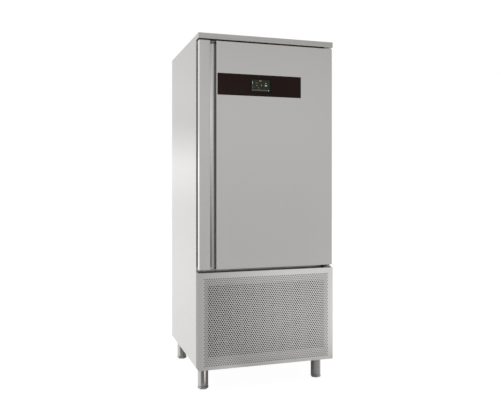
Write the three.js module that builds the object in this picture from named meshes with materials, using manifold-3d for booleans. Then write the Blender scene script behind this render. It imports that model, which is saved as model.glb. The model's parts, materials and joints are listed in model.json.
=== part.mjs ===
// An upright blast chiller for a professional kitchen, about 2 m tall.
//
// Millimetres, +Z up, +X to the right seen from the front, front face towards -Y.
// The origin is on the floor under the middle of the cabinet.
// Every piece that could be unscrewed or lifted out on a bench is a mesh of its own.

import * as THREE from 'three';
import { mergeVertices } from 'three/addons/utils/BufferGeometryUtils.js';
import Module from 'manifold-3d';

const wasm = await Module();
wasm.setup();

// ---------------------------------------------------------------- driving sizes

// The whole cabinet
const WIDTH = 790;
const DEPTH = 800;
const HEIGHT = 1958;
const SEAT = 0.3; // gap left where one piece rests on another
const LAP = 1; // how far joined solids run into each other, and cutting ones past what they cut
const SHEET = 1.2; // stainless sheet of the outside

// Levels up the front
const LEG_RISE = 135; // floor to the underside of the cabinet
const PANEL_HEIGHT = 526; // perforated lower panel
const PANEL_TO_DOOR = 17;
const DOOR_TO_NOSE = 9;
const NOSE_HEIGHT = 30;

// Carcass
const FOLD = 15; // inward folds of the outer sheets
const SWAGE_DEPTH = 6; // pressed ribs of the back sheet
const SWAGE_HALF = 30;
const SWAGE_SLOPE = 8;
const DECK_DROP = 16; // deck below the top of the lower panel
const LINER = 1; // sheet of the chamber
const WALL = 60; // side and rear insulation, over everything
const BASE_SHEET = 2;
const BASE_LIP = 38;

// Chamber mouth, measured from the door's own edges
const MOUTH_INSET = 38; // above its lower edge
const MOUTH_DROP = 41; // below its upper edge

// Door
const DOOR_SIDE_GAP = 4; // door edge to the cabinet's side
const DOOR_BODY = 55; // skin to liner, without the gasket
const GASKET_SPACE = 8; // from the back of the door to the carcass
const SKIN_RETURN = 31; // folded edge of the skin
const EDGE_RADIUS = 3.5;
const STRIP_WIDTH = 61; // plain strip left of the handle groove
const GROOVE_WIDTH = 33;
const GROOVE_BACKING = 11; // foam and liner behind the groove's floor
const GROOVE_RADIUS = 4;
const GRIP_LIP = 12; // thickness of the lip that the fingers pull on
const GRIP_UNDERCUT = 14;
const PROFILE_INSET = 5; // plastic profile inside the edge of the skin
const PROFILE_TO_GRIP = 4; // foam between the profile and the groove's undercut
const GASKET_WIDTH = 20;
const GASKET_INSET = 12; // from the door's top and bottom edges
const GASKET_FOOT = 2.2;
const GASKET_NECK = 9;
const GASKET_HEAD = 3;

// Controls
const GLASS_WIDTH = 487;
const GLASS_HEIGHT = 118;
const GLASS_THICKNESS = 4;
const GLASS_RECESS = 0.5;
const GLASS_CLEARANCE = 0.5;
const GLASS_FROM_GROOVE = 7;
const GLASS_FROM_TOP = 173;
const DISPLAY_WIDTH = 134;
const DISPLAY_HEIGHT = 88;
const DISPLAY_DEPTH = 14;
const DISPLAY_FROM_LEFT = 247; // glass edge to the middle of the display
const DISPLAY_CORNER = 6;
const HOUSING_DEPTH = 30;
const HOUSING_WALL = 2.5;
const HOUSING_RIM = 3; // how far the housing stays inside the edge of the glass

// Hinges
const PIVOT_FROM_SIDE = 23; // hinge axis from the cabinet's right side
const PIVOT_FROM_FRONT = 22;
const PIN_RADIUS = 6;
const PIN_REACH = 26; // into the door
const BUSH_WALL = 1.7;
const BUSH_FLANGE_RADIUS = 12;
const BUSH_FLANGE = 3;
const CAM_LENGTH = 29;
const CAM_WIDTH = 18;
const CAM_THICKNESS = 6;
const BRACKET_PLATE = 4;
const BRACKET_WIDTH = 46;
const BRACKET_FLANGE = 3;
const BRACKET_RISE = 22;
const COLLAR_RADIUS = 8;
const COLLAR_HEIGHT = 4;
const BRACKET_FRONT = 3; // how far the plate runs in front of the collar
const PIN_END_GAP = 2;

// Lower front panel: round holes in staggered rows
const PERF_COARSE = 5; // the hole pattern is drawn this many times coarser than the sheet has it
const PERF_PITCH = 13.2 * PERF_COARSE; // along a row
const PERF_ROW = 10.2 * PERF_COARSE; // row to row
const PERF_DIAMETER = 6.6 * PERF_COARSE;
const PERF_SIDES = 6;
const PERF_SIDE_MARGIN = 34; // plain border to the first holes
const PERF_END_MARGIN = 27;
const BACKING_SHEET = 2;
const BACKING_SIDE = 53; // border of the frame behind the holes
const BACKING_END = 68;

// Legs and feet
const LEG_RADIUS = 29;
const LEG_FLANGE_RADIUS = 35;
const LEG_FLANGE = 3;
const LEG_FROM_SIDE = 53;
const LEG_FROM_CARCASS = 60; // front legs, behind the carcass front
const LEG_FROM_BACK = 66;
const LEG_BORE = 14;
const FOOT_HEIGHT = 17;
const FOOT_RADIUS = 30; // across the corners, halved
const FOOT_CHAMFER = 3;
const FOOT_STEM = 70; // stem inside the leg
const FOOT_TURNS = [0.35, 0.9, 0.15, 0.65]; // each foot stops screwing at its own angle, in radians

// Racks
const RUNNER_PITCH = 70;
const RUNNER_FIRST = 59; // chamber floor to the top of the lowest runner
const RUNNER_HEADROOM = 60;
const RUNNER_ROD = 8;
const RUNNER_REACH = 21; // rod centre line from the upright's inner face
const UPRIGHT = 16;
const RACK_STAND_OFF = 12; // liner wall to the uprights
const SPACER_RADIUS = 6;
const RACK_FRONT = 22; // carcass front to the front upright
const RACK_TO_GUARD = 19; // rear uprights to the fan guards

// Evaporator
const COVER_SHEET = 1;
const COVER_FROM_BACK = 228; // chamber's rear wall to the front of the cover
const COVER_SIDE_GAP = 45;
const COVER_TOP_GAP = 34;
const COVER_LIP = 24; // folds that stiffen the cover's sides
const COIL_DEPTH = 100;
const COIL_SIDE_GAP = 62;
const COIL_END_GAP = 46;
const COIL_FINS = 22;
const COIL_FIN_DEPTH = 34;
const PAN_HEIGHT = 30;
const PAN_SHEET = 1.2;
const EVAPORATOR_FANS = 2;
const GUARD_DEPTH = 12;
const GUARD_WIRE = 4;
const GUARD_RINGS = 2;
const GUARD_ARMS = 4;
const GUARD_RIM = 8; // how far the guard's rim lies outside the fan mouth
const FAN_TIP_RADIUS = 140;
const FAN_MOUTH_CLEARANCE = 10;
const FAN_HUB_RADIUS = 40;
const FAN_DEPTH = 34;
const FAN_BLADES = 5;
const BLADE_THICKNESS = 3;
const BLADE_PITCH = 0.45; // radians from the plane of the fan
const MOTOR_RADIUS = 36;
const MOTOR_LENGTH = 46;
const SHAFT_RADIUS = 5;
const SHAFT_LENGTH = 26;
const SHAFT_GAP = 3; // motor face to fan hub
const HUB_BEVEL = 2;
const HUB_DOME = 8;
const HUB_END_WALL = 6;
const BLADE_ROOT = 0.34; // half widths of a blade at its root and tip, as shares of its chord
const BLADE_TIP = 0.5;
const BLADE_INTO_HUB = 5;
const BLADE_LEADING = 0.3; // corner radii, as shares of the blade's length
const BLADE_TRAILING = 0.22;
const MOTOR_EDGE = 4;
const MOTOR_NOSE = [8, 2]; // where the case steps in before its end, and where the nose begins
const MOTOR_NOSE_SHARE = 0.6;
const FIN_GAP = 0.55; // share of a fin's pitch that is open

// Drain
const DRAIN_RADIUS = 10;
const DRAIN_BORE = 8;
const DRAIN_FLANGE = 15;
const DRAIN_FLANGE_HEIGHT = 2;
const DRAIN_X = -180;
const DRAIN_FROM_BACK = 58;
const DRAIN_DROP = 520; // length below the chamber floor

// Machine compartment
const CONDENSER_WIDTH = 400;
const CONDENSER_HEIGHT = 380;
const CONDENSER_DEPTH = 60;
const CONDENSER_FROM_LEFT = 165;
const CONDENSER_FROM_FRONT = 18;
const CONDENSER_LIFT = 2;
const CONDENSER_FINS = 22;
const CONDENSER_FIN_DEPTH = 22;
const CONDENSER_FOOT = 30;
const SHROUD_SHEET = 2;
const SHROUD_COLLAR = 44;
const SHROUD_CLEARANCE = 8; // fan tips to the mouth
const SPIDER_ARMS = 3;
const SPIDER_WIDTH = 16;
const SPIDER_THICKNESS = 4;
const SPIDER_BORE = 8;
const CONDENSER_FAN_TIP = 150;
const COMPRESSOR_FROM_RISER = 30; // suction riser to the side of the can
const COMPRESSOR_FROM_BACK = 320;
const COMPRESSOR_RADIUS = 92;
const COMPRESSOR_HEIGHT = 250;
const COMPRESSOR_PLATE = [220, 190, 4];
const COMPRESSOR_PAD = 18;
const PAD_RADIUS = 14;
const PAD_INSET = 18;
const CAN_BOTTOM = [0.8, 26]; // share of the radius at the bottom, and the height of its curve
const CAN_TOP = [0.82, 0.45]; // shares of the radius up the domed top
const CAN_DOME = [42, 14]; // where the dome begins and bends, from the top
const CAN_SEAM = [0.52, 0.58]; // the welded flange, as shares of the can's height
const CAN_SEAM_OUT = 4;
const TERMINALS = [68, 34, 80]; // box on the can's side: width, how far it stands out, height
const TERMINALS_LIFT = 90;
const RECEIVER_FROM_TRAY = 13;
const RECEIVER_FROM_RISER = 70;
const RECEIVER_RADIUS = 52;
const RECEIVER_HEIGHT = 270;
const RECEIVER_SKIRT = [0.7, 0.85, 12, 16]; // shares of the radius, then hollow and height
const RECEIVER_DOME = [34, 14, 0.4]; // where it begins and bends, and the share left flat
const DRIER_RADIUS = 22;
const DRIER_LENGTH = 120;
const DRIER_NECK = [3, 8, 24]; // over the pipe's radius, its length, and where the body is full
const DRIER_LIFT = 260; // drier's lower end above the base
const RISER_SIDE = 23; // pipe risers, in from the chamber's side wall
const RISER_FROM_BACK = 40;
const RISER_INTO_CHAMBER = 190; // where the risers turn to the coil, above the chamber floor
const PIPE_RADIUS = 6;
const SUCTION_RADIUS = 9;
const PIPE_BEND = 34;
const PORT_INSET = 30; // condenser's pipe ports, in from its corners
const SUCTION_HEIGHT = 110; // where the suction pipe meets the compressor
const BOX_SIZE = [112, 250, 260];
const BOX_FROM_FRONT = 40;
const BOX_LIFT = 190;
const BOX_LID = [12, 3]; // thickness, and how far it stands over the case
const TRAY_SIZE = [190, 220, 34];
const TRAY_WALL = 2;
const GLAND_RADIUS = 13;
const GLAND_BORE = 5;
const GLAND_DOME = [22, 14]; // lower end and shoulder, below the base
const GLAND_NUT = [1.3, 6]; // share of the gland's radius, and height
const GLAND_TIP = 0.8;
const GLAND_X = 80;
const GLAND_FROM_BACK = 48;

// Rear grille
const LOUVRES = 11;
const LOUVRE_HEIGHT = 9;
const LOUVRE_PITCH = 30;
const LOUVRE_WIDTH = 560;

// Fineness of round shapes
const ROUND = 12;
const FINE = 16;
const ARC_STEPS = 3;
const GRID = 128; // steps to the millimetre that points are snapped to
const PIPE_SIDES = 6;
const TUBE_SIDES = 12;
const GLAND_SIDES = 12;
const WIRE_SIDES = 12;
const PEG_SIDES = 8;

// ---------------------------------------------------------------- worked out from them

const OVERHANG = DOOR_BODY + GASKET_SPACE; // door, nose and lower panel stand this far proud
const GROOVE_DEPTH = DOOR_BODY - GROOVE_BACKING;
const PROFILE_WIDTH = STRIP_WIDTH - GRIP_UNDERCUT - PROFILE_INSET - PROFILE_TO_GRIP;
const GASKET_SIDE_INSET = PROFILE_INSET + PROFILE_WIDTH - GASKET_WIDTH;
const SIDE = WIDTH / 2;
const FRONT = -DEPTH / 2;
const BACK = DEPTH / 2;
const CARCASS = FRONT + OVERHANG;
const INSIDE = SIDE - SHEET - SEAT; // half width between the side panels
const INSIDE_FRONT = CARCASS + SHEET + SEAT;
const INSIDE_BACK = BACK - SHEET - SEAT;
const FOAM_BACK = INSIDE_BACK - SWAGE_DEPTH;
const PANEL_TOP = LEG_RISE + PANEL_HEIGHT;
const DECK = PANEL_TOP - DECK_DROP;
const DOOR_BOTTOM = PANEL_TOP + PANEL_TO_DOOR;
const NOSE_BOTTOM = HEIGHT - NOSE_HEIGHT;
const DOOR_TOP = NOSE_BOTTOM - DOOR_TO_NOSE;
const DOOR_HEIGHT = DOOR_TOP - DOOR_BOTTOM;
const DOOR_HALF = SIDE - DOOR_SIDE_GAP;
const MOUTH_HALF = SIDE - WALL;
const CHAMBER_FLOOR = DOOR_BOTTOM + MOUTH_INSET;
const CHAMBER_TOP = DOOR_TOP - MOUTH_DROP;
const CHAMBER_BACK = BACK - WALL;
const BASE_FLOOR = LEG_RISE + SHEET + SEAT + BASE_SHEET; // what the machine parts stand on
const PIVOT_X = SIDE - PIVOT_FROM_SIDE;
const PIVOT_Y = FRONT + PIVOT_FROM_FRONT;
const CONDENSER_X = CONDENSER_FROM_LEFT + CONDENSER_WIDTH / 2 - SIDE;
const RACK_BACK = CHAMBER_BACK - COVER_FROM_BACK - GUARD_DEPTH - RACK_TO_GUARD;

// ---------------------------------------------------------------- finishes

const finish = (color, roughness, metalness) => () =>
  new THREE.MeshStandardMaterial({ color, roughness, metalness });
const brushedSteel = finish(0xb4b2af, 0.38, 1);
const satinSteel = finish(0xc4c3c0, 0.3, 1);
const galvanised = finish(0xa9adb0, 0.5, 0.9);
const aluminium = finish(0xc9cccf, 0.42, 0.95);
const copper = finish(0xb87048, 0.35, 1);
const blackPaint = finish(0x1b1c1e, 0.45, 0.2);
const darkPlastic = finish(0x3a3b3c, 0.6, 0);
const blackRubber = finish(0x242424, 0.85, 0);
const greyPlastic = finish(0x77797b, 0.55, 0);
const blackGlass = finish(0x241a18, 0.08, 0);
const screenBlack = finish(0x1e2018, 0.2, 0);
const foam = finish(0xe3dcb4, 0.95, 0);

// ---------------------------------------------------------------- solids

// A closed three.js geometry as a solid, with its faces turned outwards. Its points are snapped to a
// fine grid, so that faces meant to share a plane do so exactly when pieces are joined.
function solid(geometry) {
  const bare = geometry.clone();
  bare.deleteAttribute('normal');
  bare.deleteAttribute('uv');
  const points = bare.getAttribute('position');
  points.array.forEach((value, i) => {
    points.array[i] = Math.round(value * GRID) / GRID;
  });
  const merged = mergeVertices(bare);
  const xyz = merged.getAttribute('position').array;
  const triangles = [];
  let volume = 0;
  for (let i = 0; i < merged.index.count; i += 3) {
    const [a, b, c] = [0, 1, 2].map((k) => merged.index.getX(i + k));
    if (a === b || b === c || a === c) continue;
    triangles.push(a, b, c);
    const [p, q, r] = [a, b, c].map((k) => new THREE.Vector3().fromArray(xyz, 3 * k));
    volume += p.dot(q.cross(r));
  }
  const outward = volume > 0;
  for (let i = 0; !outward && i < triangles.length; i += 3) {
    [triangles[i + 1], triangles[i + 2]] = [triangles[i + 2], triangles[i + 1]];
  }
  const mesh = new wasm.Mesh({
    numProp: 3,
    vertProperties: new Float32Array(xyz),
    triVerts: new Uint32Array(triangles),
  });
  return new wasm.Manifold(mesh);
}

const join = (...pieces) => pieces.flat().reduce((sum, piece) => sum.add(piece));
const cut = (body, ...tools) => tools.flat().reduce((rest, tool) => rest.subtract(tool), body);

function block([x0, x1], [y0, y1], [z0, z1]) {
  const box = new THREE.BoxGeometry(x1 - x0, y1 - y0, z1 - z0);
  return solid(box.translate((x0 + x1) / 2, (y0 + y1) / 2, (z0 + z1) / 2));
}

// A closed outline swept straight along one axis. The outline's two coordinates are the other two
// axes in the order X, Y, Z.
const SWEEP = {
  x: new THREE.Matrix4().set(0, 0, 1, 0, 1, 0, 0, 0, 0, 1, 0, 0, 0, 0, 0, 1),
  y: new THREE.Matrix4().set(1, 0, 0, 0, 0, 0, 1, 0, 0, 1, 0, 0, 0, 0, 0, 1),
  z: new THREE.Matrix4(),
};

function sweep(axis, outline, [low, high]) {
  const shape = new THREE.Shape(outline.map(([u, v]) => new THREE.Vector2(u, v)));
  const straight = new THREE.ExtrudeGeometry(shape, { depth: high - low, bevelEnabled: false });
  return solid(straight.translate(0, 0, low).applyMatrix4(SWEEP[axis]));
}

// A closed profile of [radius, height] turned about Z.
function turn(profile, sides = ROUND) {
  const points = profile.map(([r, z]) => new THREE.Vector2(r, z));
  const lathe = new THREE.LatheGeometry([...points, points[0]], sides);
  return solid(lathe.rotateX(Math.PI / 2));
}

const disc = (radius, low, high, sides = ROUND) =>
  turn([[0, low], [radius, low], [radius, high], [0, high]], sides);
const ring = (inner, outer, low, high, sides = ROUND) =>
  turn([[inner, low], [outer, low], [outer, high], [inner, high]], sides);
const facing = (shape, axis) => shape.rotate(axis === 'y' ? [-90, 0, 0] : [0, 90, 0]);

const rectangle = ([x0, x1], [y0, y1]) => [[x0, y0], [x1, y0], [x1, y1], [x0, y1]];

// Corners of an open path rounded with short arcs. A corner is [x, y] or [x, y, radius].
function rounded(path) {
  return path.flatMap(([x, y, radius = 0], i) => {
    if (!radius || i === 0 || i === path.length - 1) return [[x, y]];
    const corner = new THREE.Vector2(x, y);
    const before = new THREE.Vector2(path[i - 1][0], path[i - 1][1]).sub(corner).normalize();
    const after = new THREE.Vector2(path[i + 1][0], path[i + 1][1]).sub(corner).normalize();
    const half = Math.acos(before.dot(after)) / 2;
    const reach = radius / Math.tan(half);
    const centre = before.clone().add(after).normalize();
    centre.multiplyScalar(radius / Math.sin(half)).add(corner);
    const start = before.clone().multiplyScalar(reach).add(corner).sub(centre);
    const end = after.clone().multiplyScalar(reach).add(corner).sub(centre);
    const turnBy = Math.atan2(start.cross(end), start.dot(end));
    return Array.from({ length: ARC_STEPS + 1 }, (_, k) => {
      const point = start.clone().rotateAround(new THREE.Vector2(), (turnBy * k) / ARC_STEPS);
      return [point.x + centre.x, point.y + centre.y];
    });
  });
}

// The path moved sideways to its left, with mitred corners.
function beside(path, distance) {
  const points = path.map(([x, y]) => new THREE.Vector2(x, y));
  return points.map((point, i) => {
    const into = points[Math.max(i, 1)].clone().sub(points[Math.max(i, 1) - 1]).normalize();
    const next = Math.min(i, points.length - 2);
    const out = points[next + 1].clone().sub(points[next]).normalize();
    const mitre = into.clone().add(out).normalize();
    const left = new THREE.Vector2(-mitre.y, mitre.x);
    left.multiplyScalar(distance / mitre.dot(out));
    return [point.x + left.x, point.y + left.y];
  });
}

// The outline of a bent sheet whose outer face follows the path.
const sheetAlong = (path, thickness) => [...path, ...beside(path, thickness).reverse()];

// A round pipe along a route of straight runs with bends of one radius.
function pipe(route, radius, bend = PIPE_BEND) {
  const points = route.map((p) => new THREE.Vector3(...p));
  const curve = new THREE.CurvePath();
  let from = points[0];
  for (let i = 1; i < points.length - 1; i += 1) {
    const into = points[i - 1].clone().sub(points[i]).normalize();
    const out = points[i + 1].clone().sub(points[i]).normalize();
    const start = into.multiplyScalar(bend).add(points[i]);
    const end = out.multiplyScalar(bend).add(points[i]);
    curve.add(new THREE.LineCurve3(from, start));
    curve.add(new THREE.QuadraticBezierCurve3(start, points[i], end));
    from = end;
  }
  curve.add(new THREE.LineCurve3(from, points[points.length - 1]));
  const stations = curve.curves.flatMap((piece) => {
    const steps = piece.isLineCurve3 ? 1 : ARC_STEPS;
    return Array.from({ length: steps }, (_, k) => piece.getPoint(k / steps));
  });
  stations.push(points[points.length - 1]);
  return tubeThrough(stations, radius, PIPE_SIDES);
}

// Rings of points square to the route, joined into one closed tube.
function tubeThrough(stations, radius, sides) {
  const tangents = stations.map((p, i) => {
    const before = stations[Math.max(i - 1, 0)];
    const after = stations[Math.min(i + 1, stations.length - 1)];
    return after.clone().sub(before).normalize();
  });
  let across = new THREE.Vector3(0, 0, 1);
  if (Math.abs(tangents[0].dot(across)) > 0.9) across = new THREE.Vector3(1, 0, 0);
  const vertices = [];
  stations.forEach((centre, i) => {
    across = across.clone().projectOnPlane(tangents[i]).normalize();
    const other = new THREE.Vector3().crossVectors(tangents[i], across);
    for (let k = 0; k < sides; k += 1) {
      const angle = (2 * Math.PI * k) / sides;
      const spoke = across.clone().multiplyScalar(Math.cos(angle) * radius);
      spoke.addScaledVector(other, Math.sin(angle) * radius);
      vertices.push(...centre.clone().add(spoke).toArray());
    }
  });
  const index = [];
  for (let i = 0; i + 1 < stations.length; i += 1) {
    for (let k = 0; k < sides; k += 1) {
      const a = i * sides + k;
      const b = i * sides + ((k + 1) % sides);
      index.push(a, b, b + sides, a, b + sides, a + sides);
    }
  }
  const last = (stations.length - 1) * sides;
  for (let k = 1; k + 1 < sides; k += 1) {
    index.push(0, k + 1, k, last, last + k, last + k + 1);
  }
  const geometry = new THREE.BufferGeometry();
  geometry.setAttribute('position', new THREE.Float32BufferAttribute(vertices, 3));
  geometry.setIndex(index);
  return solid(geometry);
}

// ---------------------------------------------------------------- the model tree

const chiller = new THREE.Group();

function group(parent, x = 0, y = 0, z = 0) {
  const node = new THREE.Group();
  node.position.set(x, y, z);
  parent.add(node);
  return node;
}

function piece(parent, name, material, body, position = [0, 0, 0], rotation = [0, 0, 0]) {
  const made = body.getMesh();
  const geometry = new THREE.BufferGeometry();
  geometry.setAttribute('position', new THREE.Float32BufferAttribute(made.vertProperties, 3));
  geometry.setIndex(new THREE.Uint32BufferAttribute(made.triVerts, 1));
  const mesh = new THREE.Mesh(geometry.toNonIndexed(), material());
  mesh.geometry.computeVertexNormals();
  mesh.name = name;
  mesh.position.set(...position);
  mesh.rotation.set(...rotation);
  parent.add(mesh);
  return mesh;
}

const SIDES = [['left', -1], ['right', 1]];
const span = (a, b) => [Math.min(a, b), Math.max(a, b)];

// ---------------------------------------------------------------- carcass

const carcass = group(chiller);

function sidePanel(sign) {
  const outer = sign * SIDE;
  const bend = [[outer, CARCASS], [outer, BACK], [outer - sign * FOLD, BACK]];
  const inward = sign > 0 ? SHEET : -SHEET;
  const wall = sweep('z', sheetAlong(bend, inward), [LEG_RISE, HEIGHT]);
  const shelf = block(span(outer, outer - sign * FOLD), [CARCASS, BACK], [LEG_RISE, LEG_RISE + SHEET]);
  return join(wall, shelf);
}

for (const [side, sign] of SIDES) {
  piece(carcass, `side_panel_${side}`, brushedSteel, sidePanel(sign));
}

// The top is one folded sheet: a flat lid and, in front, a box-shaped nose over the door.
function topCover() {
  const lid = block([-INSIDE, INSIDE], [CARCASS - SHEET, INSIDE_BACK], [HEIGHT - SHEET, HEIGHT]);
  const nose = block([-SIDE, SIDE], [FRONT, CARCASS - SEAT], [NOSE_BOTTOM, HEIGHT]);
  const hollow = block(
    [-SIDE + SHEET, SIDE - SHEET],
    [FRONT + SHEET, CARCASS],
    [NOSE_BOTTOM + SHEET, HEIGHT - SHEET],
  );
  return join(cut(nose, hollow), lid);
}

piece(carcass, 'top_cover', brushedSteel, topCover());

const backHalf = SIDE - FOLD - SEAT;

// Two upright swages stop the tall back sheet from drumming.
function rearPanel() {
  const flat = SWAGE_HALF - SWAGE_SLOPE;
  const swage = (x) => [
    [x - SWAGE_HALF, BACK],
    [x - flat, BACK - SWAGE_DEPTH],
    [x + flat, BACK - SWAGE_DEPTH],
    [x + SWAGE_HALF, BACK],
  ];
  const path = [[-backHalf, BACK], ...swage(-backHalf / 2), ...swage(backHalf / 2), [backHalf, BACK]];
  return sweep('z', sheetAlong(path, -SHEET), [DECK, HEIGHT - SHEET - SEAT]);
}

piece(carcass, 'rear_panel', galvanised, rearPanel());

function frontFrame() {
  const plate = block([-INSIDE, INSIDE], [CARCASS, CARCASS + SHEET], [DECK, HEIGHT - SHEET - SEAT]);
  const mouth = block(
    [-MOUTH_HALF, MOUTH_HALF],
    [CARCASS - SHEET, CARCASS + 2 * SHEET],
    [CHAMBER_FLOOR, CHAMBER_TOP],
  );
  return cut(plate, mouth);
}

piece(carcass, 'front_frame', brushedSteel, frontFrame());

// Round ways down from the chamber: the drain and the two refrigerant risers.
const drainY = CHAMBER_BACK - DRAIN_FROM_BACK;
const riserX = MOUTH_HALF - RISER_SIDE;
const riserY = CHAMBER_BACK - RISER_FROM_BACK;
const COMPRESSOR_X = riserX - COMPRESSOR_FROM_RISER - COMPRESSOR_RADIUS;
const COMPRESSOR_Y = BACK - COMPRESSOR_FROM_BACK;
const RECEIVER_X = DRAIN_X + TRAY_SIZE[0] / 2 + RECEIVER_FROM_TRAY + RECEIVER_RADIUS;
const RECEIVER_Y = riserY - RECEIVER_FROM_RISER;

// The hole's flats, not its corners, keep the clearance.
function wayDown(x, y, radius, [low, high]) {
  const toCorners = (radius + SEAT) / Math.cos(Math.PI / ROUND);
  return disc(toCorners, low - SEAT, high + SEAT).translate([x, y, 0]);
}

function waysDown(levels) {
  return [
    wayDown(DRAIN_X, drainY, DRAIN_RADIUS, levels),
    wayDown(riserX, riserY, SUCTION_RADIUS, levels),
    wayDown(-riserX, riserY, PIPE_RADIUS, levels),
  ];
}

function chamberLiner() {
  const outer = block(
    [-MOUTH_HALF - LINER, MOUTH_HALF + LINER],
    [INSIDE_FRONT, CHAMBER_BACK + LINER],
    [CHAMBER_FLOOR - LINER, CHAMBER_TOP + LINER],
  );
  const room = block(
    [-MOUTH_HALF, MOUTH_HALF],
    [INSIDE_FRONT - LINER, CHAMBER_BACK],
    [CHAMBER_FLOOR, CHAMBER_TOP],
  );
  return cut(outer, room, waysDown([CHAMBER_FLOOR - LINER, CHAMBER_FLOOR]));
}

piece(carcass, 'chamber_liner', satinSteel, chamberLiner());

function insulation() {
  const outer = block(
    [-INSIDE, INSIDE],
    [INSIDE_FRONT, FOAM_BACK],
    [DECK + SHEET + SEAT, HEIGHT - SHEET - SEAT],
  );
  const gap = LINER + SEAT;
  const room = block(
    [-MOUTH_HALF - gap, MOUTH_HALF + gap],
    [INSIDE_FRONT - gap, CHAMBER_BACK + gap],
    [CHAMBER_FLOOR - gap, CHAMBER_TOP + gap],
  );
  return cut(outer, room, waysDown([DECK, CHAMBER_FLOOR]));
}

piece(carcass, 'insulation', foam, insulation());

// The deck between chamber and machines is stiffened by folds down its two sides.
function deck() {
  const path = [
    [-INSIDE, DECK - FOLD],
    [-INSIDE, DECK + SHEET],
    [INSIDE, DECK + SHEET],
    [INSIDE, DECK - FOLD],
  ];
  const plate = sweep('y', sheetAlong(path, -SHEET), [INSIDE_FRONT, FOAM_BACK]);
  return cut(plate, waysDown([DECK, DECK + SHEET]));
}

piece(carcass, 'compartment_deck', galvanised, deck());

const baseBottom = BASE_FLOOR - BASE_SHEET;

function baseFrame() {
  const outer = block([-INSIDE, INSIDE], [INSIDE_FRONT, INSIDE_BACK], [baseBottom, baseBottom + BASE_LIP]);
  const room = block(
    [-INSIDE + BASE_SHEET, INSIDE - BASE_SHEET],
    [INSIDE_FRONT + BASE_SHEET, INSIDE_BACK - BASE_SHEET],
    [BASE_FLOOR, baseBottom + BASE_LIP + BASE_SHEET],
  );
  const gland = wayDown(GLAND_X, BACK - GLAND_FROM_BACK, GLAND_RADIUS, [baseBottom, BASE_FLOOR]);
  return cut(outer, room, gland);
}

piece(carcass, 'base_frame', galvanised, baseFrame());

function rearGrille() {
  const low = LEG_RISE + SHEET + SEAT;
  const high = DECK - SEAT;
  const plate = block([-backHalf, backHalf], [BACK - SHEET, BACK], [low, high]);
  const middle = (low + high) / 2;
  const slots = Array.from({ length: LOUVRES }, (_, i) => {
    const z = middle + (i - (LOUVRES - 1) / 2) * LOUVRE_PITCH;
    const slot = rectangle([-LOUVRE_WIDTH / 2, LOUVRE_WIDTH / 2], [z, z + LOUVRE_HEIGHT]);
    return sweep('y', slot, [BACK - 2 * SHEET, BACK + SHEET]);
  });
  return cut(plate, slots);
}

piece(carcass, 'rear_grille', galvanised, rearGrille());

// ---------------------------------------------------------------- lower front panel

const lower = group(chiller, 0, FRONT, LEG_RISE);

// Staggered rows of round holes, centred on the panel.
function perforation() {
  const width = WIDTH - 2 * PERF_SIDE_MARGIN;
  const height = PANEL_HEIGHT - 2 * PERF_END_MARGIN;
  const rows = Math.floor((height - PERF_DIAMETER) / PERF_ROW) + 1;
  const longRow = Math.floor((width - PERF_DIAMETER) / PERF_PITCH) + 1;
  const lowest = PANEL_HEIGHT / 2 - ((rows - 1) / 2) * PERF_ROW;
  const holes = [];
  for (let row = 0; row < rows; row += 1) {
    const count = longRow - (row % 2);
    for (let i = 0; i < count; i += 1) {
      holes.push([(i - (count - 1) / 2) * PERF_PITCH, lowest + row * PERF_ROW]);
    }
  }
  return holes;
}

// A flat sheet; its folded edges belong to the frame behind it.
function perforatedSheet() {
  const shape = new THREE.Shape(
    rectangle([-SIDE, SIDE], [0, PANEL_HEIGHT]).map(([x, z]) => new THREE.Vector2(x, z)),
  );
  for (const [x, z] of perforation()) {
    const hole = new THREE.Path();
    for (let k = 0; k < PERF_SIDES; k += 1) {
      const angle = (2 * Math.PI * (k + 0.5)) / PERF_SIDES;
      const point = [x + (PERF_DIAMETER / 2) * Math.cos(angle), z + (PERF_DIAMETER / 2) * Math.sin(angle)];
      if (k) hole.lineTo(...point);
      else hole.moveTo(...point);
    }
    hole.closePath();
    shape.holes.push(hole);
  }
  const plate = new THREE.ExtrudeGeometry(shape, { depth: SHEET, bevelEnabled: false });
  return solid(plate.applyMatrix4(SWEEP.y));
}

piece(lower, 'lower_front_panel', brushedSteel, perforatedSheet());

// A folded frame behind the sheet: a wide front border and four edges that run back to the carcass.
function backingFrame() {
  const near = SHEET + SEAT;
  const flange = near + BACKING_SHEET;
  const edge = BACKING_SHEET;
  const body = block([-SIDE, SIDE], [near, OVERHANG - SEAT], [0, PANEL_HEIGHT]);
  const hollow = block([-SIDE + edge, SIDE - edge], [flange, OVERHANG], [edge, PANEL_HEIGHT - edge]);
  const window = block(
    [-SIDE + BACKING_SIDE, SIDE - BACKING_SIDE],
    [0, OVERHANG],
    [BACKING_END, PANEL_HEIGHT - BACKING_END],
  );
  return cut(body, hollow, window);
}

piece(lower, 'panel_backing_frame', brushedSteel, backingFrame());

// ---------------------------------------------------------------- legs and feet

const legTop = LEG_RISE + SHEET;

function leg() {
  const low = FOOT_HEIGHT + SEAT;
  return turn(
    [
      [LEG_BORE + SEAT, low],
      [LEG_RADIUS, low],
      [LEG_RADIUS, legTop - LEG_FLANGE],
      [LEG_FLANGE_RADIUS, legTop - LEG_FLANGE],
      [LEG_FLANGE_RADIUS, legTop],
      [LEG_BORE + SEAT, legTop],
    ],
    FINE,
  );
}

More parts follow.
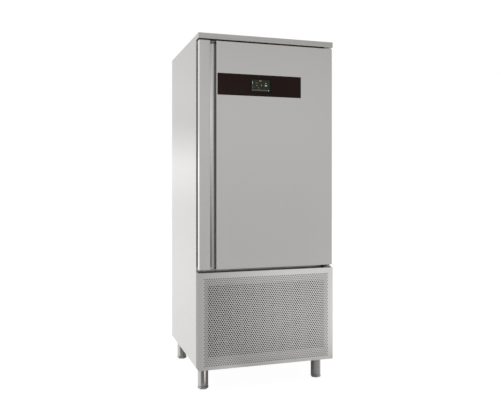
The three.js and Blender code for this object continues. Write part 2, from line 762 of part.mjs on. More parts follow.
// A hexagonal foot on a stem that screws up into the leg.
function foot() {
  const hexagon = turn(
    [
      [0, 0],
      [FOOT_RADIUS - 2 * FOOT_CHAMFER, 0],
      [FOOT_RADIUS, FOOT_CHAMFER],
      [FOOT_RADIUS, FOOT_HEIGHT - FOOT_CHAMFER],
      [FOOT_RADIUS - FOOT_CHAMFER, FOOT_HEIGHT],
      [0, FOOT_HEIGHT],
    ],
    6,
  );
  const stem = disc(LEG_BORE, FOOT_HEIGHT - LAP, FOOT_HEIGHT + FOOT_STEM, FINE);
  return join(hexagon, stem);
}

const LEGS = [
  ['front_left', -1, CARCASS + LEG_FROM_CARCASS],
  ['front_right', 1, CARCASS + LEG_FROM_CARCASS],
  ['rear_left', -1, BACK - LEG_FROM_BACK],
  ['rear_right', 1, BACK - LEG_FROM_BACK],
];

LEGS.forEach(([where, sign, y], i) => {
  const at = group(chiller, sign * (SIDE - LEG_FROM_SIDE), y, 0);
  piece(at, `leg_${where}`, satinSteel, leg());
  piece(at, `foot_${where}`, satinSteel, foot(), [0, 0, 0], [0, 0, FOOT_TURNS[i]]);
});

// ---------------------------------------------------------------- door

// The door's own frame: X across the cabinet, Y back from the front face, Z up from its lower edge.
const door = group(chiller, 0, FRONT, DOOR_BOTTOM);
const grooveLeft = -DOOR_HALF + STRIP_WIDTH;
const grooveRight = grooveLeft + GROOVE_WIDTH;
const gripBack = grooveLeft - GRIP_UNDERCUT;
const pivotY = PIVOT_FROM_FRONT;

// From the left fold across the strip, round the handle groove and along the face to the right fold.
const skinPath = rounded([
  [-DOOR_HALF, SKIN_RETURN],
  [-DOOR_HALF, 0, EDGE_RADIUS],
  [grooveLeft, 0, EDGE_RADIUS],
  [grooveLeft, GRIP_LIP, EDGE_RADIUS],
  [gripBack, GRIP_LIP],
  [gripBack, GROOVE_DEPTH],
  [grooveRight, GROOVE_DEPTH],
  [grooveRight, 0, GROOVE_RADIUS],
  [DOOR_HALF, 0, EDGE_RADIUS],
  [DOOR_HALF, SKIN_RETURN],
]);

// The end of the door closed by a fold, in two parts because the groove runs right through.
function endFolds([low, high]) {
  const strip = [
    [-DOOR_HALF, SKIN_RETURN],
    [-DOOR_HALF, 0, EDGE_RADIUS],
    [grooveLeft, 0, EDGE_RADIUS],
    [grooveLeft, GRIP_LIP, EDGE_RADIUS],
    [gripBack, GRIP_LIP],
    [gripBack, SKIN_RETURN],
  ];
  const face = [
    [grooveRight, SKIN_RETURN],
    [grooveRight, 0, GROOVE_RADIUS],
    [DOOR_HALF, 0, EDGE_RADIUS],
    [DOOR_HALF, SKIN_RETURN],
  ];
  const inSheet = (path) => beside(rounded(path), SHEET / 2);
  return [strip, face].map((path) => sweep('z', inSheet(path), [low, high]));
}

const glassLeft = grooveRight + GLASS_FROM_GROOVE;
const glassRight = glassLeft + GLASS_WIDTH;
const glassTop = DOOR_HEIGHT - GLASS_FROM_TOP;
const glassBottom = glassTop - GLASS_HEIGHT;
const bushRadius = PIN_RADIUS + SEAT + BUSH_WALL;

// Holes up and down into the door for the two hinge bushes.
function bushHoles(depth) {
  const radius = bushRadius + SEAT;
  return [
    disc(radius, -SHEET, depth).translate([PIVOT_X, pivotY, 0]),
    disc(radius, DOOR_HEIGHT - depth, DOOR_HEIGHT + SHEET).translate([PIVOT_X, pivotY, 0]),
  ];
}

function doorSkin() {
  const bent = sweep('z', sheetAlong(skinPath, SHEET), [0, DOOR_HEIGHT]);
  const ends = [...endFolds([0, SHEET]), ...endFolds([DOOR_HEIGHT - SHEET, DOOR_HEIGHT])];
  const window = block(
    [glassLeft - GLASS_CLEARANCE, glassRight + GLASS_CLEARANCE],
    [-SHEET, 2 * SHEET],
    [glassBottom - GLASS_CLEARANCE, glassTop + GLASS_CLEARANCE],
  );
  return cut(join(bent, ends), window, bushHoles(PIN_REACH));
}

piece(door, 'door_skin', brushedSteel, doorSkin());

const profileHalf = DOOR_HALF - PROFILE_INSET;
const profileFront = SKIN_RETURN + SEAT;

// The room that the handle groove's sheet takes inside the door.
function grooveRoom() {
  const room = SHEET + SEAT;
  return block(
    [gripBack - room, grooveRight + room],
    [0, GROOVE_DEPTH + room],
    [-PROFILE_INSET, DOOR_HEIGHT + PROFILE_INSET],
  );
}

function frameRing(inset, sideInset, width, [near, far]) {
  const half = DOOR_HALF - sideInset;
  const [low, high] = [inset, DOOR_HEIGHT - inset];
  return cut(
    block([-half, half], [near, far], [low, high]),
    block([-half + width, half - width], [near - LAP, far + LAP], [low + width, high - width]),
  );
}

function doorProfile() {
  const whole = frameRing(PROFILE_INSET, PROFILE_INSET, PROFILE_WIDTH, [profileFront, DOOR_BODY]);
  return cut(whole, grooveRoom(), bushHoles(PIN_REACH));
}

piece(door, 'door_frame_profile', darkPlastic, doorProfile());

const linerHalf = profileHalf - PROFILE_WIDTH - SEAT;
const linerLow = PROFILE_INSET + PROFILE_WIDTH + SEAT;

function doorLiner() {
  return block([-linerHalf, linerHalf], [DOOR_BODY - LINER, DOOR_BODY], [linerLow, DOOR_HEIGHT - linerLow]);
}

piece(door, 'door_liner', satinSteel, doorLiner());

const glassBack = GLASS_RECESS + GLASS_THICKNESS;
const housingFront = glassBack + SEAT;
const housingBack = housingFront + HOUSING_DEPTH;

function housingBlock(grow, [near, far]) {
  return block(
    [glassLeft + HOUSING_RIM - grow, glassRight - HOUSING_RIM + grow],
    [near, far],
    [glassBottom + HOUSING_RIM - grow, glassTop - HOUSING_RIM + grow],
  );
}

// Foam fills the skin, then steps in behind the plastic profile.
function doorFoam() {
  const room = SHEET + SEAT;
  const wide = block(
    [-DOOR_HALF + room, DOOR_HALF - room],
    [room, SKIN_RETURN],
    [room, DOOR_HEIGHT - room],
  );
  const narrow = block(
    [-linerHalf, linerHalf],
    [SKIN_RETURN - LAP, DOOR_BODY - LINER - SEAT],
    [linerLow, DOOR_HEIGHT - linerLow],
  );
  const edge = (x) => disc(EDGE_RADIUS, 0, DOOR_HEIGHT).translate([x, room, 0]);
  const corners = [edge(-DOOR_HALF + room), edge(grooveRight + room), edge(DOOR_HALF - room)];
  const glassRoom = block(
    [glassLeft - GLASS_CLEARANCE, glassRight + GLASS_CLEARANCE],
    [0, housingFront],
    [glassBottom - GLASS_CLEARANCE, glassTop + GLASS_CLEARANCE],
  );
  const pockets = [housingBlock(SEAT, [0, housingBack + SEAT]), glassRoom];
  return cut(join(wide, narrow), grooveRoom(), corners, pockets, bushHoles(PIN_REACH + 2 * SHEET));
}

// The groove parts the foam into a slip inside the strip and the main slab; the slip joins the slab
// behind the groove's floor.
piece(door, 'door_insulation', foam, doorFoam());

// Base, narrow neck and soft head, as an extruded gasket is cut across.
function doorGasket() {
  const base = DOOR_BODY + SEAT;
  const top = OVERHANG - SEAT;
  const narrower = (GASKET_WIDTH - GASKET_NECK) / 2;
  const neck = [GASKET_INSET + narrower, GASKET_SIDE_INSET + narrower, GASKET_NECK];
  const head = top - GASKET_HEAD;
  const foot = base + GASKET_FOOT;
  return join(
    frameRing(GASKET_INSET, GASKET_SIDE_INSET, GASKET_WIDTH, [base, foot]),
    frameRing(...neck, [foot - LAP, head + LAP]),
    frameRing(GASKET_INSET, GASKET_SIDE_INSET, GASKET_WIDTH, [head, top]),
  );
}

piece(door, 'door_gasket', blackRubber, doorGasket());

function controlGlass() {
  return block([glassLeft, glassRight], [GLASS_RECESS, glassBack], [glassBottom, glassTop]);
}

piece(door, 'control_glass', blackGlass, controlGlass());

// A shallow tray behind the glass, open towards it.
function controlHousing() {
  const hollow = housingBlock(-HOUSING_WALL, [housingFront - LAP, housingBack - HOUSING_WALL]);
  return cut(housingBlock(0, [housingFront, housingBack]), hollow);
}

piece(door, 'control_housing', greyPlastic, controlHousing());

function displayModule() {
  const x = glassLeft + DISPLAY_FROM_LEFT;
  const z = (glassBottom + glassTop) / 2;
  const [w, h] = [DISPLAY_WIDTH / 2, DISPLAY_HEIGHT / 2];
  const corners = [
    [x, z - h],
    [x + w, z - h, DISPLAY_CORNER],
    [x + w, z + h, DISPLAY_CORNER],
    [x - w, z + h, DISPLAY_CORNER],
    [x - w, z - h, DISPLAY_CORNER],
    [x, z - h],
  ];
  return sweep('y', rounded(corners).slice(1), [housingFront, housingFront + DISPLAY_DEPTH]);
}

piece(door, 'display_module', screenBlack, displayModule());

// ---------------------------------------------------------------- hinges

// Both bushes: a sleeve in the door and a flange against its edge. The lower one carries the cam that
// lifts and closes the door.
function lowerBush() {
  const high = -SEAT;
  const low = high - CAM_THICKNESS;
  const round = disc(BUSH_FLANGE_RADIUS, low, high);
  const arm = block([-CAM_LENGTH, 0], [-CAM_WIDTH / 2, CAM_WIDTH / 2], [low, high]);
  const bore = disc(PIN_RADIUS + SEAT, low - LAP, PIN_REACH + LAP);
  return cut(join(round, arm, disc(bushRadius, low, PIN_REACH - LAP)), bore);
}

function upperBush() {
  const flange = disc(BUSH_FLANGE_RADIUS, SEAT, SEAT + BUSH_FLANGE);
  const bore = disc(PIN_RADIUS + SEAT, -PIN_REACH - LAP, BUSH_FLANGE + LAP);
  return cut(join(flange, disc(bushRadius, LAP - PIN_REACH, BUSH_FLANGE)), bore);
}

piece(door, 'door_bush_lower', darkPlastic, lowerBush(), [PIVOT_X, pivotY, 0]);
piece(door, 'door_bush_upper', darkPlastic, upperBush(), [PIVOT_X, pivotY, DOOR_HEIGHT]);

const hinges = group(chiller, PIVOT_X, PIVOT_Y, 0);
const bracketRight = SIDE - DOOR_SIDE_GAP - PIVOT_X;
const carcassFromPivot = CARCASS - PIVOT_Y;

// A plate under the door, turned up against the carcass, with the pin and its collar.
function lowerBracket() {
  const under = DOOR_BOTTOM - SEAT - CAM_THICKNESS - SEAT;
  const top = under - COLLAR_HEIGHT;
  const low = top - BRACKET_PLATE;
  const left = bracketRight - BRACKET_WIDTH;
  const back = carcassFromPivot - SEAT;
  const plate = block([left, bracketRight], [-COLLAR_RADIUS - BRACKET_FRONT, back], [low, top]);
  const upright = block([left, bracketRight], [back - BRACKET_FLANGE, back], [low, low + BRACKET_RISE]);
  const collar = disc(COLLAR_RADIUS, top - LAP, under);
  const pin = disc(PIN_RADIUS, top - LAP, DOOR_BOTTOM + PIN_REACH - PIN_END_GAP);
  return join(plate, upright, collar, pin);
}

// A plate screwed up under the nose, with the pin pointing down.
function upperBracket() {
  const top = NOSE_BOTTOM - SEAT;
  const left = bracketRight - BRACKET_WIDTH;
  const plate = block(
    [left, bracketRight],
    [-COLLAR_RADIUS - BRACKET_FRONT, carcassFromPivot - SEAT],
    [top - BRACKET_PLATE, top],
  );
  const collar = disc(COLLAR_RADIUS, DOOR_TOP + BUSH_FLANGE + 2 * SEAT, top - LAP);
  const pin = disc(PIN_RADIUS, DOOR_TOP - PIN_REACH + PIN_END_GAP, top - LAP);
  return join(plate, collar, pin);
}

piece(hinges, 'hinge_bracket_lower', satinSteel, lowerBracket());
piece(hinges, 'hinge_bracket_upper', satinSteel, upperBracket());

// ---------------------------------------------------------------- racks

const runnerCount =
  Math.floor((CHAMBER_TOP - CHAMBER_FLOOR - RUNNER_FIRST - RUNNER_HEADROOM) / RUNNER_PITCH) + 1;

// A ladder of two uprights and flat U-shaped rods, with spacers to the chamber wall.
function rack(sign) {
  const wall = MOUTH_HALF - RACK_STAND_OFF;
  const inner = wall - UPRIGHT;
  const front = CARCASS + RACK_FRONT;
  const back = RACK_BACK;
  const high = CHAMBER_TOP - RUNNER_HEADROOM;
  const low = CHAMBER_FLOOR + SEAT;
  const xSpan = span(sign * inner, sign * wall);
  const uprights = [
    block(xSpan, [front, front + UPRIGHT], [low, high]),
    block(xSpan, [back - UPRIGHT, back], [low, high]),
    block(xSpan, [front, back], [high - UPRIGHT, high]),
    block(xSpan, [front, back], [low, low + UPRIGHT]),
  ];
  const spacers = [front + UPRIGHT / 2, back - UPRIGHT / 2].map((y) => {
    const peg = disc(SPACER_RADIUS, 0, RACK_STAND_OFF - SEAT + LAP, PEG_SIDES);
    const x = sign > 0 ? wall - LAP : -MOUTH_HALF + SEAT;
    return facing(peg, 'x').translate([x, y, high - 2 * UPRIGHT]);
  });
  const half = RUNNER_ROD / 2;
  const root = sign * (inner + half);
  const tip = sign * (inner - RUNNER_REACH);
  const runners = Array.from({ length: runnerCount }, (_, i) => {
    const z = CHAMBER_FLOOR + RUNNER_FIRST + i * RUNNER_PITCH - half;
    const route = [
      [root, front + UPRIGHT / 2, z],
      [tip, front + UPRIGHT / 2, z],
      [tip, back - UPRIGHT / 2, z],
      [root, back - UPRIGHT / 2, z],
    ];
    return runnerRod(route, half);
  });
  return join(uprights, spacers, runners);
}

// A rod of six sides with a flat on top, mitred at its two corners.
function runnerRod(route, half) {
  const corner = half / Math.cos(Math.PI / 6);
  const path = route.map(([x, y]) => [x, y]);
  const rings = Array.from({ length: 6 }, (_, k) => {
    const angle = (Math.PI / 3) * k;
    return [corner * Math.cos(angle), corner * Math.sin(angle)];
  });
  const stations = rings.map(([sideways]) => beside(path, sideways));
  const vertices = [];
  path.forEach((_, i) => {
    rings.forEach(([, up], k) => vertices.push(...stations[k][i], route[0][2] + up));
  });
  const index = [];
  for (let i = 0; i + 1 < path.length; i += 1) {
    for (let k = 0; k < 6; k += 1) {
      const [a, b] = [i * 6 + k, i * 6 + ((k + 1) % 6)];
      index.push(a, b, b + 6, a, b + 6, a + 6);
    }
  }
  const last = (path.length - 1) * 6;
  for (let k = 1; k < 5; k += 1) index.push(0, k + 1, k, last, last + k, last + k + 1);
  const geometry = new THREE.BufferGeometry();
  geometry.setAttribute('position', new THREE.Float32BufferAttribute(vertices, 3));
  geometry.setIndex(index);
  return solid(geometry);
}

const chamber = group(chiller);
for (const [side, sign] of SIDES) {
  piece(chamber, `tray_rack_${side}`, satinSteel, rack(sign));
}

// ---------------------------------------------------------------- fans

// A hub with a bore for the shaft and pitched blades, turning about its own Z.
function fan(tipRadius, hubRadius, blades) {
  const bore = SHAFT_RADIUS + SEAT;
  const hub = turn([
    [bore, 0],
    [hubRadius - HUB_BEVEL, 0],
    [hubRadius, HUB_BEVEL],
    [hubRadius, FAN_DEPTH - HUB_DOME],
    [hubRadius - HUB_DOME, FAN_DEPTH],
    [0, FAN_DEPTH],
    [0, FAN_DEPTH - HUB_END_WALL],
    [bore, FAN_DEPTH - HUB_END_WALL],
  ]);
  const reach = tipRadius - hubRadius;
  const chord = (Math.PI * tipRadius) / blades;
  const outline = rounded([
    [-chord * BLADE_ROOT, hubRadius - BLADE_INTO_HUB],
    [-chord * BLADE_TIP, tipRadius - HUB_BEVEL, reach * BLADE_LEADING],
    [chord * BLADE_TIP, tipRadius - HUB_BEVEL, reach * BLADE_TRAILING],
    [chord * BLADE_ROOT, hubRadius - BLADE_INTO_HUB],
  ]);
  const flat = sweep('z', outline, [-BLADE_THICKNESS / 2, BLADE_THICKNESS / 2]);
  const degrees = 180 / Math.PI;
  const blade = flat.rotate([0, BLADE_PITCH * degrees, 0]).translate([0, 0, FAN_DEPTH / 2]);
  const swept = Array.from({ length: blades }, (_, k) => blade.rotate([0, 0, (360 * k) / blades]));
  const blocked = disc(bore, -LAP, FAN_DEPTH - HUB_END_WALL);
  const swirl = disc(tipRadius, 0, FAN_DEPTH, FINE);
  return cut(join(hub, swept), blocked).intersect(swirl);
}

// A motor with a stepped case, its shaft pointing along +Z.
function motor(radius, length) {
  return turn([
    [0, 0],
    [radius - MOTOR_EDGE, 0],
    [radius, MOTOR_EDGE],
    [radius, length - MOTOR_NOSE[0]],
    [radius * MOTOR_NOSE_SHARE, length - MOTOR_NOSE[1]],
    [radius * MOTOR_NOSE_SHARE, length],
    [SHAFT_RADIUS, length],
    [SHAFT_RADIUS, length + SHAFT_LENGTH],
    [0, length + SHAFT_LENGTH],
  ]);
}

const TOWARDS_BACK = [-Math.PI / 2, 0, 0]; // a piece's own +Z laid along +Y
const TOWARDS_FRONT = [Math.PI / 2, 0, 0]; // and along -Y

// ---------------------------------------------------------------- evaporator

const coverFront = CHAMBER_BACK - COVER_FROM_BACK;
const coverHalf = MOUTH_HALF - COVER_SIDE_GAP;
const coverTop = CHAMBER_TOP - COVER_TOP_GAP;
const coverRoof = coverTop - COVER_SHEET; // the roof sits a sheet below the face's upper edge
const coverBottom = CHAMBER_FLOOR + SEAT;
const fanMouth = FAN_TIP_RADIUS + FAN_MOUTH_CLEARANCE;
const fanSpacing = (coverTop - coverBottom) / EVAPORATOR_FANS;
const fanHeights = Array.from(
  { length: EVAPORATOR_FANS },
  (_, i) => coverBottom + (i + 0.5) * fanSpacing,
);
const FAN_NAMES = ['lower', 'upper'];

// Front sheet with two mouths, folded back along its sides; a roof runs back to the chamber wall.
function evaporatorCover() {
  const folded = [
    [-coverHalf, coverFront + COVER_LIP],
    [-coverHalf, coverFront],
    [coverHalf, coverFront],
    [coverHalf, coverFront + COVER_LIP],
  ];
  const face = sweep('z', sheetAlong(folded, COVER_SHEET), [coverBottom, coverTop]);
  const inSheet = COVER_SHEET / 2;
  const roof = block(
    [-coverHalf + inSheet, coverHalf - inSheet],
    [coverFront + inSheet, CHAMBER_BACK - SEAT],
    [coverRoof - COVER_SHEET, coverRoof],
  );
  const mouths = fanHeights.map((z) =>
    facing(disc(fanMouth, -COVER_SHEET, 2 * COVER_SHEET, FINE), 'y').translate([0, coverFront, z]));
  return cut(join(face, roof), mouths);
}

const evaporator = group(chiller);
piece(evaporator, 'evaporator_cover', satinSteel, evaporatorCover());

// A comb outline stands for the pack of fins: a solid core with slots from the air side.
function finPack([x0, x1], [near, far], finDepth, fins, [low, high]) {
  const pitch = (x1 - x0) / fins;
  const slot = pitch * FIN_GAP;
  const comb = [[x0, far], [x0, near]];
  for (let i = 1; i < fins; i += 1) {
    const x = x0 + i * pitch - slot / 2;
    comb.push([x, near], [x, near + finDepth], [x + slot, near + finDepth], [x + slot, near]);
  }
  comb.push([x1, near], [x1, far]);
  return sweep('z', comb, [low, high]);
}

const coilBack = CHAMBER_BACK - SEAT;
const coilHalf = MOUTH_HALF - COIL_SIDE_GAP;

function evaporatorCoil() {
  return finPack(
    [-coilHalf, coilHalf],
    [coilBack - COIL_DEPTH, coilBack],
    COIL_FIN_DEPTH,
    COIL_FINS,
    [CHAMBER_FLOOR + COIL_END_GAP, coverRoof - COVER_SHEET - SEAT],
  );
}

piece(evaporator, 'evaporator_coil', aluminium, evaporatorCoil());

// The pan under the coil stands on the chamber floor, inside the cover's sides.
function drainPan() {
  const half = coverHalf - COVER_SHEET - SEAT;
  const front = coverFront + COVER_SHEET + SEAT;
  const back = CHAMBER_BACK - SEAT;
  const low = CHAMBER_FLOOR + SEAT;
  const outer = block([-half, half], [front, back], [low, low + PAN_HEIGHT]);
  const room = block(
    [-half + PAN_SHEET, half - PAN_SHEET],
    [front + PAN_SHEET, back - PAN_SHEET],
    [low + PAN_SHEET, low + PAN_HEIGHT + LAP],
  );
  return cut(outer, room, wayDown(DRAIN_X, drainY, DRAIN_RADIUS, [low, low + PAN_SHEET]));
}

piece(evaporator, 'drain_pan', satinSteel, drainPan());

function drainPipe() {
  const seat = CHAMBER_FLOOR + 2 * SEAT + PAN_SHEET;
  const low = CHAMBER_FLOOR - DRAIN_DROP;
  return turn([
    [DRAIN_BORE, low],
    [DRAIN_RADIUS, low],
    [DRAIN_RADIUS, seat],
    [DRAIN_FLANGE, seat],
    [DRAIN_FLANGE, seat + DRAIN_FLANGE_HEIGHT],
    [DRAIN_BORE, seat + DRAIN_FLANGE_HEIGHT],
  ], TUBE_SIDES);
}

piece(evaporator, 'drain_pipe', greyPlastic, drainPipe(), [DRAIN_X, drainY, 0]);

// A wire basket: rings and arms in front, a seat ring on the cover and a plate for the motor.
function fanGuard() {
  const wire = GUARD_WIRE;
  const rim = fanMouth + GUARD_RIM;
  const plate = disc(MOTOR_RADIUS - wire, 0, wire, WIRE_SIDES);
  const rings = Array.from({ length: GUARD_RINGS }, (_, i) => {
    const radius = MOTOR_RADIUS + ((i + 1) * (rim - MOTOR_RADIUS)) / (GUARD_RINGS + 0.5);
    return ring(radius, radius + wire, 0, wire, WIRE_SIDES);
  });
  const seatRing = ring(rim - wire, rim + wire, GUARD_DEPTH - wire, GUARD_DEPTH - SEAT);
  const arms = Array.from({ length: GUARD_ARMS }, (_, k) => {
    const bar = block([-wire / 2, wire / 2], [0, rim], [0, wire]);
    const drop = block([-wire / 2, wire / 2], [rim - wire, rim + wire / 2], [0, GUARD_DEPTH - SEAT]);
    return join(bar, drop).rotate([0, 0, (360 * (k + 0.5)) / GUARD_ARMS]);
  });
  return join(plate, rings, seatRing, arms);
}

fanHeights.forEach((z, i) => {
  const at = group(evaporator, 0, coverFront - GUARD_DEPTH, z);
  const motorFront = GUARD_WIRE + SEAT;
  const hubFront = motorFront + MOTOR_LENGTH + SHAFT_GAP;
  piece(at, `fan_guard_${FAN_NAMES[i]}`, satinSteel, fanGuard(), [0, 0, 0], TOWARDS_BACK);
  piece(at, `fan_motor_${FAN_NAMES[i]}`, blackPaint, motor(MOTOR_RADIUS, MOTOR_LENGTH),
    [0, motorFront, 0], TOWARDS_BACK);
  piece(at, `evaporator_fan_${FAN_NAMES[i]}`, darkPlastic, fan(FAN_TIP_RADIUS, FAN_HUB_RADIUS, FAN_BLADES),
    [0, hubFront, 0], TOWARDS_BACK);
});

// ---------------------------------------------------------------- machine compartment

const machine = group(chiller);
const floorSeat = BASE_FLOOR + SEAT;
const condenserFront = INSIDE_FRONT + CONDENSER_FROM_FRONT;
const condenserBack = condenserFront + CONDENSER_DEPTH;
const condenserSpan = [CONDENSER_X - CONDENSER_WIDTH / 2, CONDENSER_X + CONDENSER_WIDTH / 2];
const condenserLow = floorSeat + CONDENSER_LIFT;
const condenserMiddle = condenserLow + CONDENSER_HEIGHT / 2;

// The coil stands on two feet, one at each end of its lower edge.
function condenserCoil() {
  const top = condenserLow + CONDENSER_HEIGHT;
  const pack = finPack(
    condenserSpan,
    [condenserFront, condenserBack],
    CONDENSER_FIN_DEPTH,
    CONDENSER_FINS,
    [condenserLow, top],
  );
  const feet = condenserSpan.map((x) => {
    const inward = x < CONDENSER_X ? CONDENSER_FOOT : -CONDENSER_FOOT;
    const deep = [condenserBack - CONDENSER_FOOT, condenserBack];
    return block(span(x, x + inward), deep, [floorSeat, condenserLow + LAP]);
  });
  return join(pack, feet);
}

piece(machine, 'condenser_coil', aluminium, condenserCoil());

// A plate with a round mouth, a collar round the fan and arms that carry the motor.
function condenserShroud() {
  const mouth = CONDENSER_FAN_TIP + SHROUD_CLEARANCE;
  const [w, h] = [CONDENSER_WIDTH / 2, CONDENSER_HEIGHT / 2];
  const plate = block([-w, w], [-h, h], [0, SHROUD_SHEET]);
  const collar = ring(mouth, mouth + SHROUD_SHEET, 0, SHROUD_COLLAR, FINE);
  const level = [SHROUD_COLLAR - SPIDER_THICKNESS, SHROUD_COLLAR];
  const arm = block([-SPIDER_WIDTH / 2, SPIDER_WIDTH / 2], [0, mouth + LAP], level);
  const spider = Array.from({ length: SPIDER_ARMS }, (_, k) => arm.rotate([0, 0, (360 * k) / SPIDER_ARMS]));
  const seat = disc(MOTOR_RADIUS, ...level);
  const shaftHole = disc(SPIDER_BORE, 0, SHROUD_COLLAR + LAP);
  const opened = cut(plate, disc(mouth, -LAP, SHROUD_SHEET + LAP, FINE));
  return cut(join(opened, collar, spider, seat), shaftHole);
}

const shroudAt = group(machine, CONDENSER_X, condenserBack + SEAT, condenserMiddle);
piece(shroudAt, 'condenser_shroud', blackPaint, condenserShroud(), [0, 0, 0], TOWARDS_BACK);
const condenserMotorFront = SHROUD_COLLAR + SEAT;
piece(shroudAt, 'condenser_fan_motor', blackPaint, motor(MOTOR_RADIUS, MOTOR_LENGTH),
  [0, condenserMotorFront + MOTOR_LENGTH, 0], TOWARDS_FRONT);
const condenserHub = condenserMotorFront - SPIDER_THICKNESS - SHAFT_GAP;
piece(shroudAt, 'condenser_fan', darkPlastic, fan(CONDENSER_FAN_TIP, FAN_HUB_RADIUS, FAN_BLADES),
  [0, condenserHub, 0], TOWARDS_FRONT);

// A hermetic can on a foot plate with four rubber pads, a terminal box on its side.
function compressor() {
  const [px, py, pz] = COMPRESSOR_PLATE;
  const pad = disc(PAD_RADIUS, 0, COMPRESSOR_PAD + LAP, PEG_SIDES);
  const pads = [[-1, -1], [1, -1], [-1, 1], [1, 1]].map(([sx, sy]) =>
    pad.translate([sx * (px / 2 - PAD_INSET), sy * (py / 2 - PAD_INSET), 0]));
  const plate = block([-px / 2, px / 2], [-py / 2, py / 2], [COMPRESSOR_PAD, COMPRESSOR_PAD + pz]);
  const r = COMPRESSOR_RADIUS;
  const low = COMPRESSOR_PAD + pz - LAP;
  const h = low + COMPRESSOR_HEIGHT;
  const [seamLow, seamHigh] = CAN_SEAM.map((share) => low + COMPRESSOR_HEIGHT * share);
  const can = turn([
    [0, low],
    [r * CAN_BOTTOM[0], low],
    [r, low + CAN_BOTTOM[1]],
    [r, seamLow],
    [r + CAN_SEAM_OUT, seamLow],
    [r + CAN_SEAM_OUT, seamHigh],
    [r, seamHigh],
    [r, h - CAN_DOME[0]],
    [r * CAN_TOP[0], h - CAN_DOME[1]],
    [r * CAN_TOP[1], h],
    [0, h],
  ]);
  const [wide, out, tall] = TERMINALS;
  const lift = low + TERMINALS_LIFT;
  const terminals = block([-wide / 2, wide / 2], [-r - out, -r / 2], [lift, lift + tall]);
  return join(pads, plate, can, terminals);
}

piece(machine, 'compressor', blackPaint, compressor(), [COMPRESSOR_X, COMPRESSOR_Y, floorSeat]);

// An upright bottle with domed ends on a skirt.
function receiver() {
  const r = RECEIVER_RADIUS;
  const h = RECEIVER_HEIGHT;
  const [inner, outer, hollow, skirt] = RECEIVER_SKIRT;
  const [begins, bends, flat] = RECEIVER_DOME;
  return turn([
    [0, hollow],
    [r * inner, hollow],
    [r * inner, 0],
    [r * outer, 0],
    [r * outer, skirt],
    [r, begins],
    [r, h - begins],
    [r * outer, h - bends],
    [r * flat, h],
    [0, h],
  ]);
}

piece(machine, 'liquid_receiver', blackPaint, receiver(), [RECEIVER_X, RECEIVER_Y, floorSeat]);

const drierLow = floorSeat + DRIER_LIFT;
const drierHigh = drierLow + DRIER_LENGTH;

function filterDrier() {
  const r = DRIER_RADIUS;
  const h = DRIER_LENGTH;
  const [over, long, full] = DRIER_NECK;
  const neck = PIPE_RADIUS + over;
  const low = [[0, 0], [neck, 0], [neck, long], [r, full]];
  return turn([...low, ...low.map(([x, z]) => [x, h - z]).reverse()], TUBE_SIDES);
}

piece(machine, 'filter_drier', copper, filterDrier(), [-riserX, riserY, drierLow]);

// Hot gas from the can over to the condenser's upper corner.
const condenserTop = condenserLow + CONDENSER_HEIGHT;
const condenserRight = condenserSpan[1] + SEAT;
const compressorTop = floorSeat + COMPRESSOR_PAD + COMPRESSOR_PLATE[2] - LAP + COMPRESSOR_HEIGHT;
const portY = condenserBack - CONDENSER_DEPTH / 4;

piece(machine, 'discharge_pipe', copper, pipe([
  [COMPRESSOR_X, COMPRESSOR_Y, compressorTop + SEAT],
  [COMPRESSOR_X, COMPRESSOR_Y, condenserTop - PORT_INSET],
  [condenserRight + 2 * PIPE_BEND + PORT_INSET, portY, condenserTop - PORT_INSET],
  [condenserRight, portY, condenserTop - PORT_INSET],
], PIPE_RADIUS));

// Liquid from the condenser's lower corner back to the bottle.
const receiverTop = floorSeat + RECEIVER_HEIGHT;
piece(machine, 'condenser_pipe', copper, pipe([
  [condenserSpan[0] - SEAT, portY, condenserLow + 2 * PORT_INSET],
  [condenserSpan[0] - 2 * PIPE_BEND, portY, condenserLow + 2 * PORT_INSET],
  [condenserSpan[0] - 2 * PIPE_BEND, RECEIVER_Y, condenserLow + 2 * PORT_INSET],
  [RECEIVER_X - RECEIVER_RADIUS - SEAT, RECEIVER_Y, condenserLow + 2 * PORT_INSET],
], PIPE_RADIUS));

piece(machine, 'liquid_pipe', copper, pipe([
  [RECEIVER_X, RECEIVER_Y, receiverTop + SEAT],
  [RECEIVER_X, RECEIVER_Y, receiverTop + 2 * PIPE_BEND],
  [-riserX, RECEIVER_Y, receiverTop + 2 * PIPE_BEND],
  [-riserX, RECEIVER_Y, drierLow - 2 * PIPE_BEND],
  [-riserX, riserY, drierLow - 2 * PIPE_BEND],
  [-riserX, riserY, drierLow - SEAT],
], PIPE_RADIUS));

const riserTurn = CHAMBER_FLOOR + RISER_INTO_CHAMBER;

piece(machine, 'feed_pipe', copper, pipe([
  [-riserX, riserY, drierHigh + SEAT],
  [-riserX, riserY, riserTurn],
  [-coilHalf - SEAT, riserY, riserTurn],
], PIPE_RADIUS, PIPE_BEND / 2));

// Cold gas from the coil down to the side of the can.
piece(machine, 'suction_pipe', copper, pipe([
  [coilHalf + SEAT, riserY, riserTurn],
  [riserX, riserY, riserTurn],
  [riserX, riserY, floorSeat + SUCTION_HEIGHT],
  [riserX, COMPRESSOR_Y, floorSeat + SUCTION_HEIGHT],
  [COMPRESSOR_X + COMPRESSOR_RADIUS + SEAT, COMPRESSOR_Y, floorSeat + SUCTION_HEIGHT],
], SUCTION_RADIUS, PIPE_BEND / 2));

// Electrical box hung on the left side, its lid a little larger than its case.
function electricalBox() {
  const [w, d, h] = BOX_SIZE;
  const [lid, over] = BOX_LID;
  return join(
    block([0, w - lid], [over, d - over], [over, h - over]),
    block([w - lid - LAP, w], [0, d], [0, h]),
  );
}

piece(machine, 'electrical_box', galvanised, electricalBox(),
  [-INSIDE, INSIDE_FRONT + BOX_FROM_FRONT, floorSeat + BOX_LIFT]);

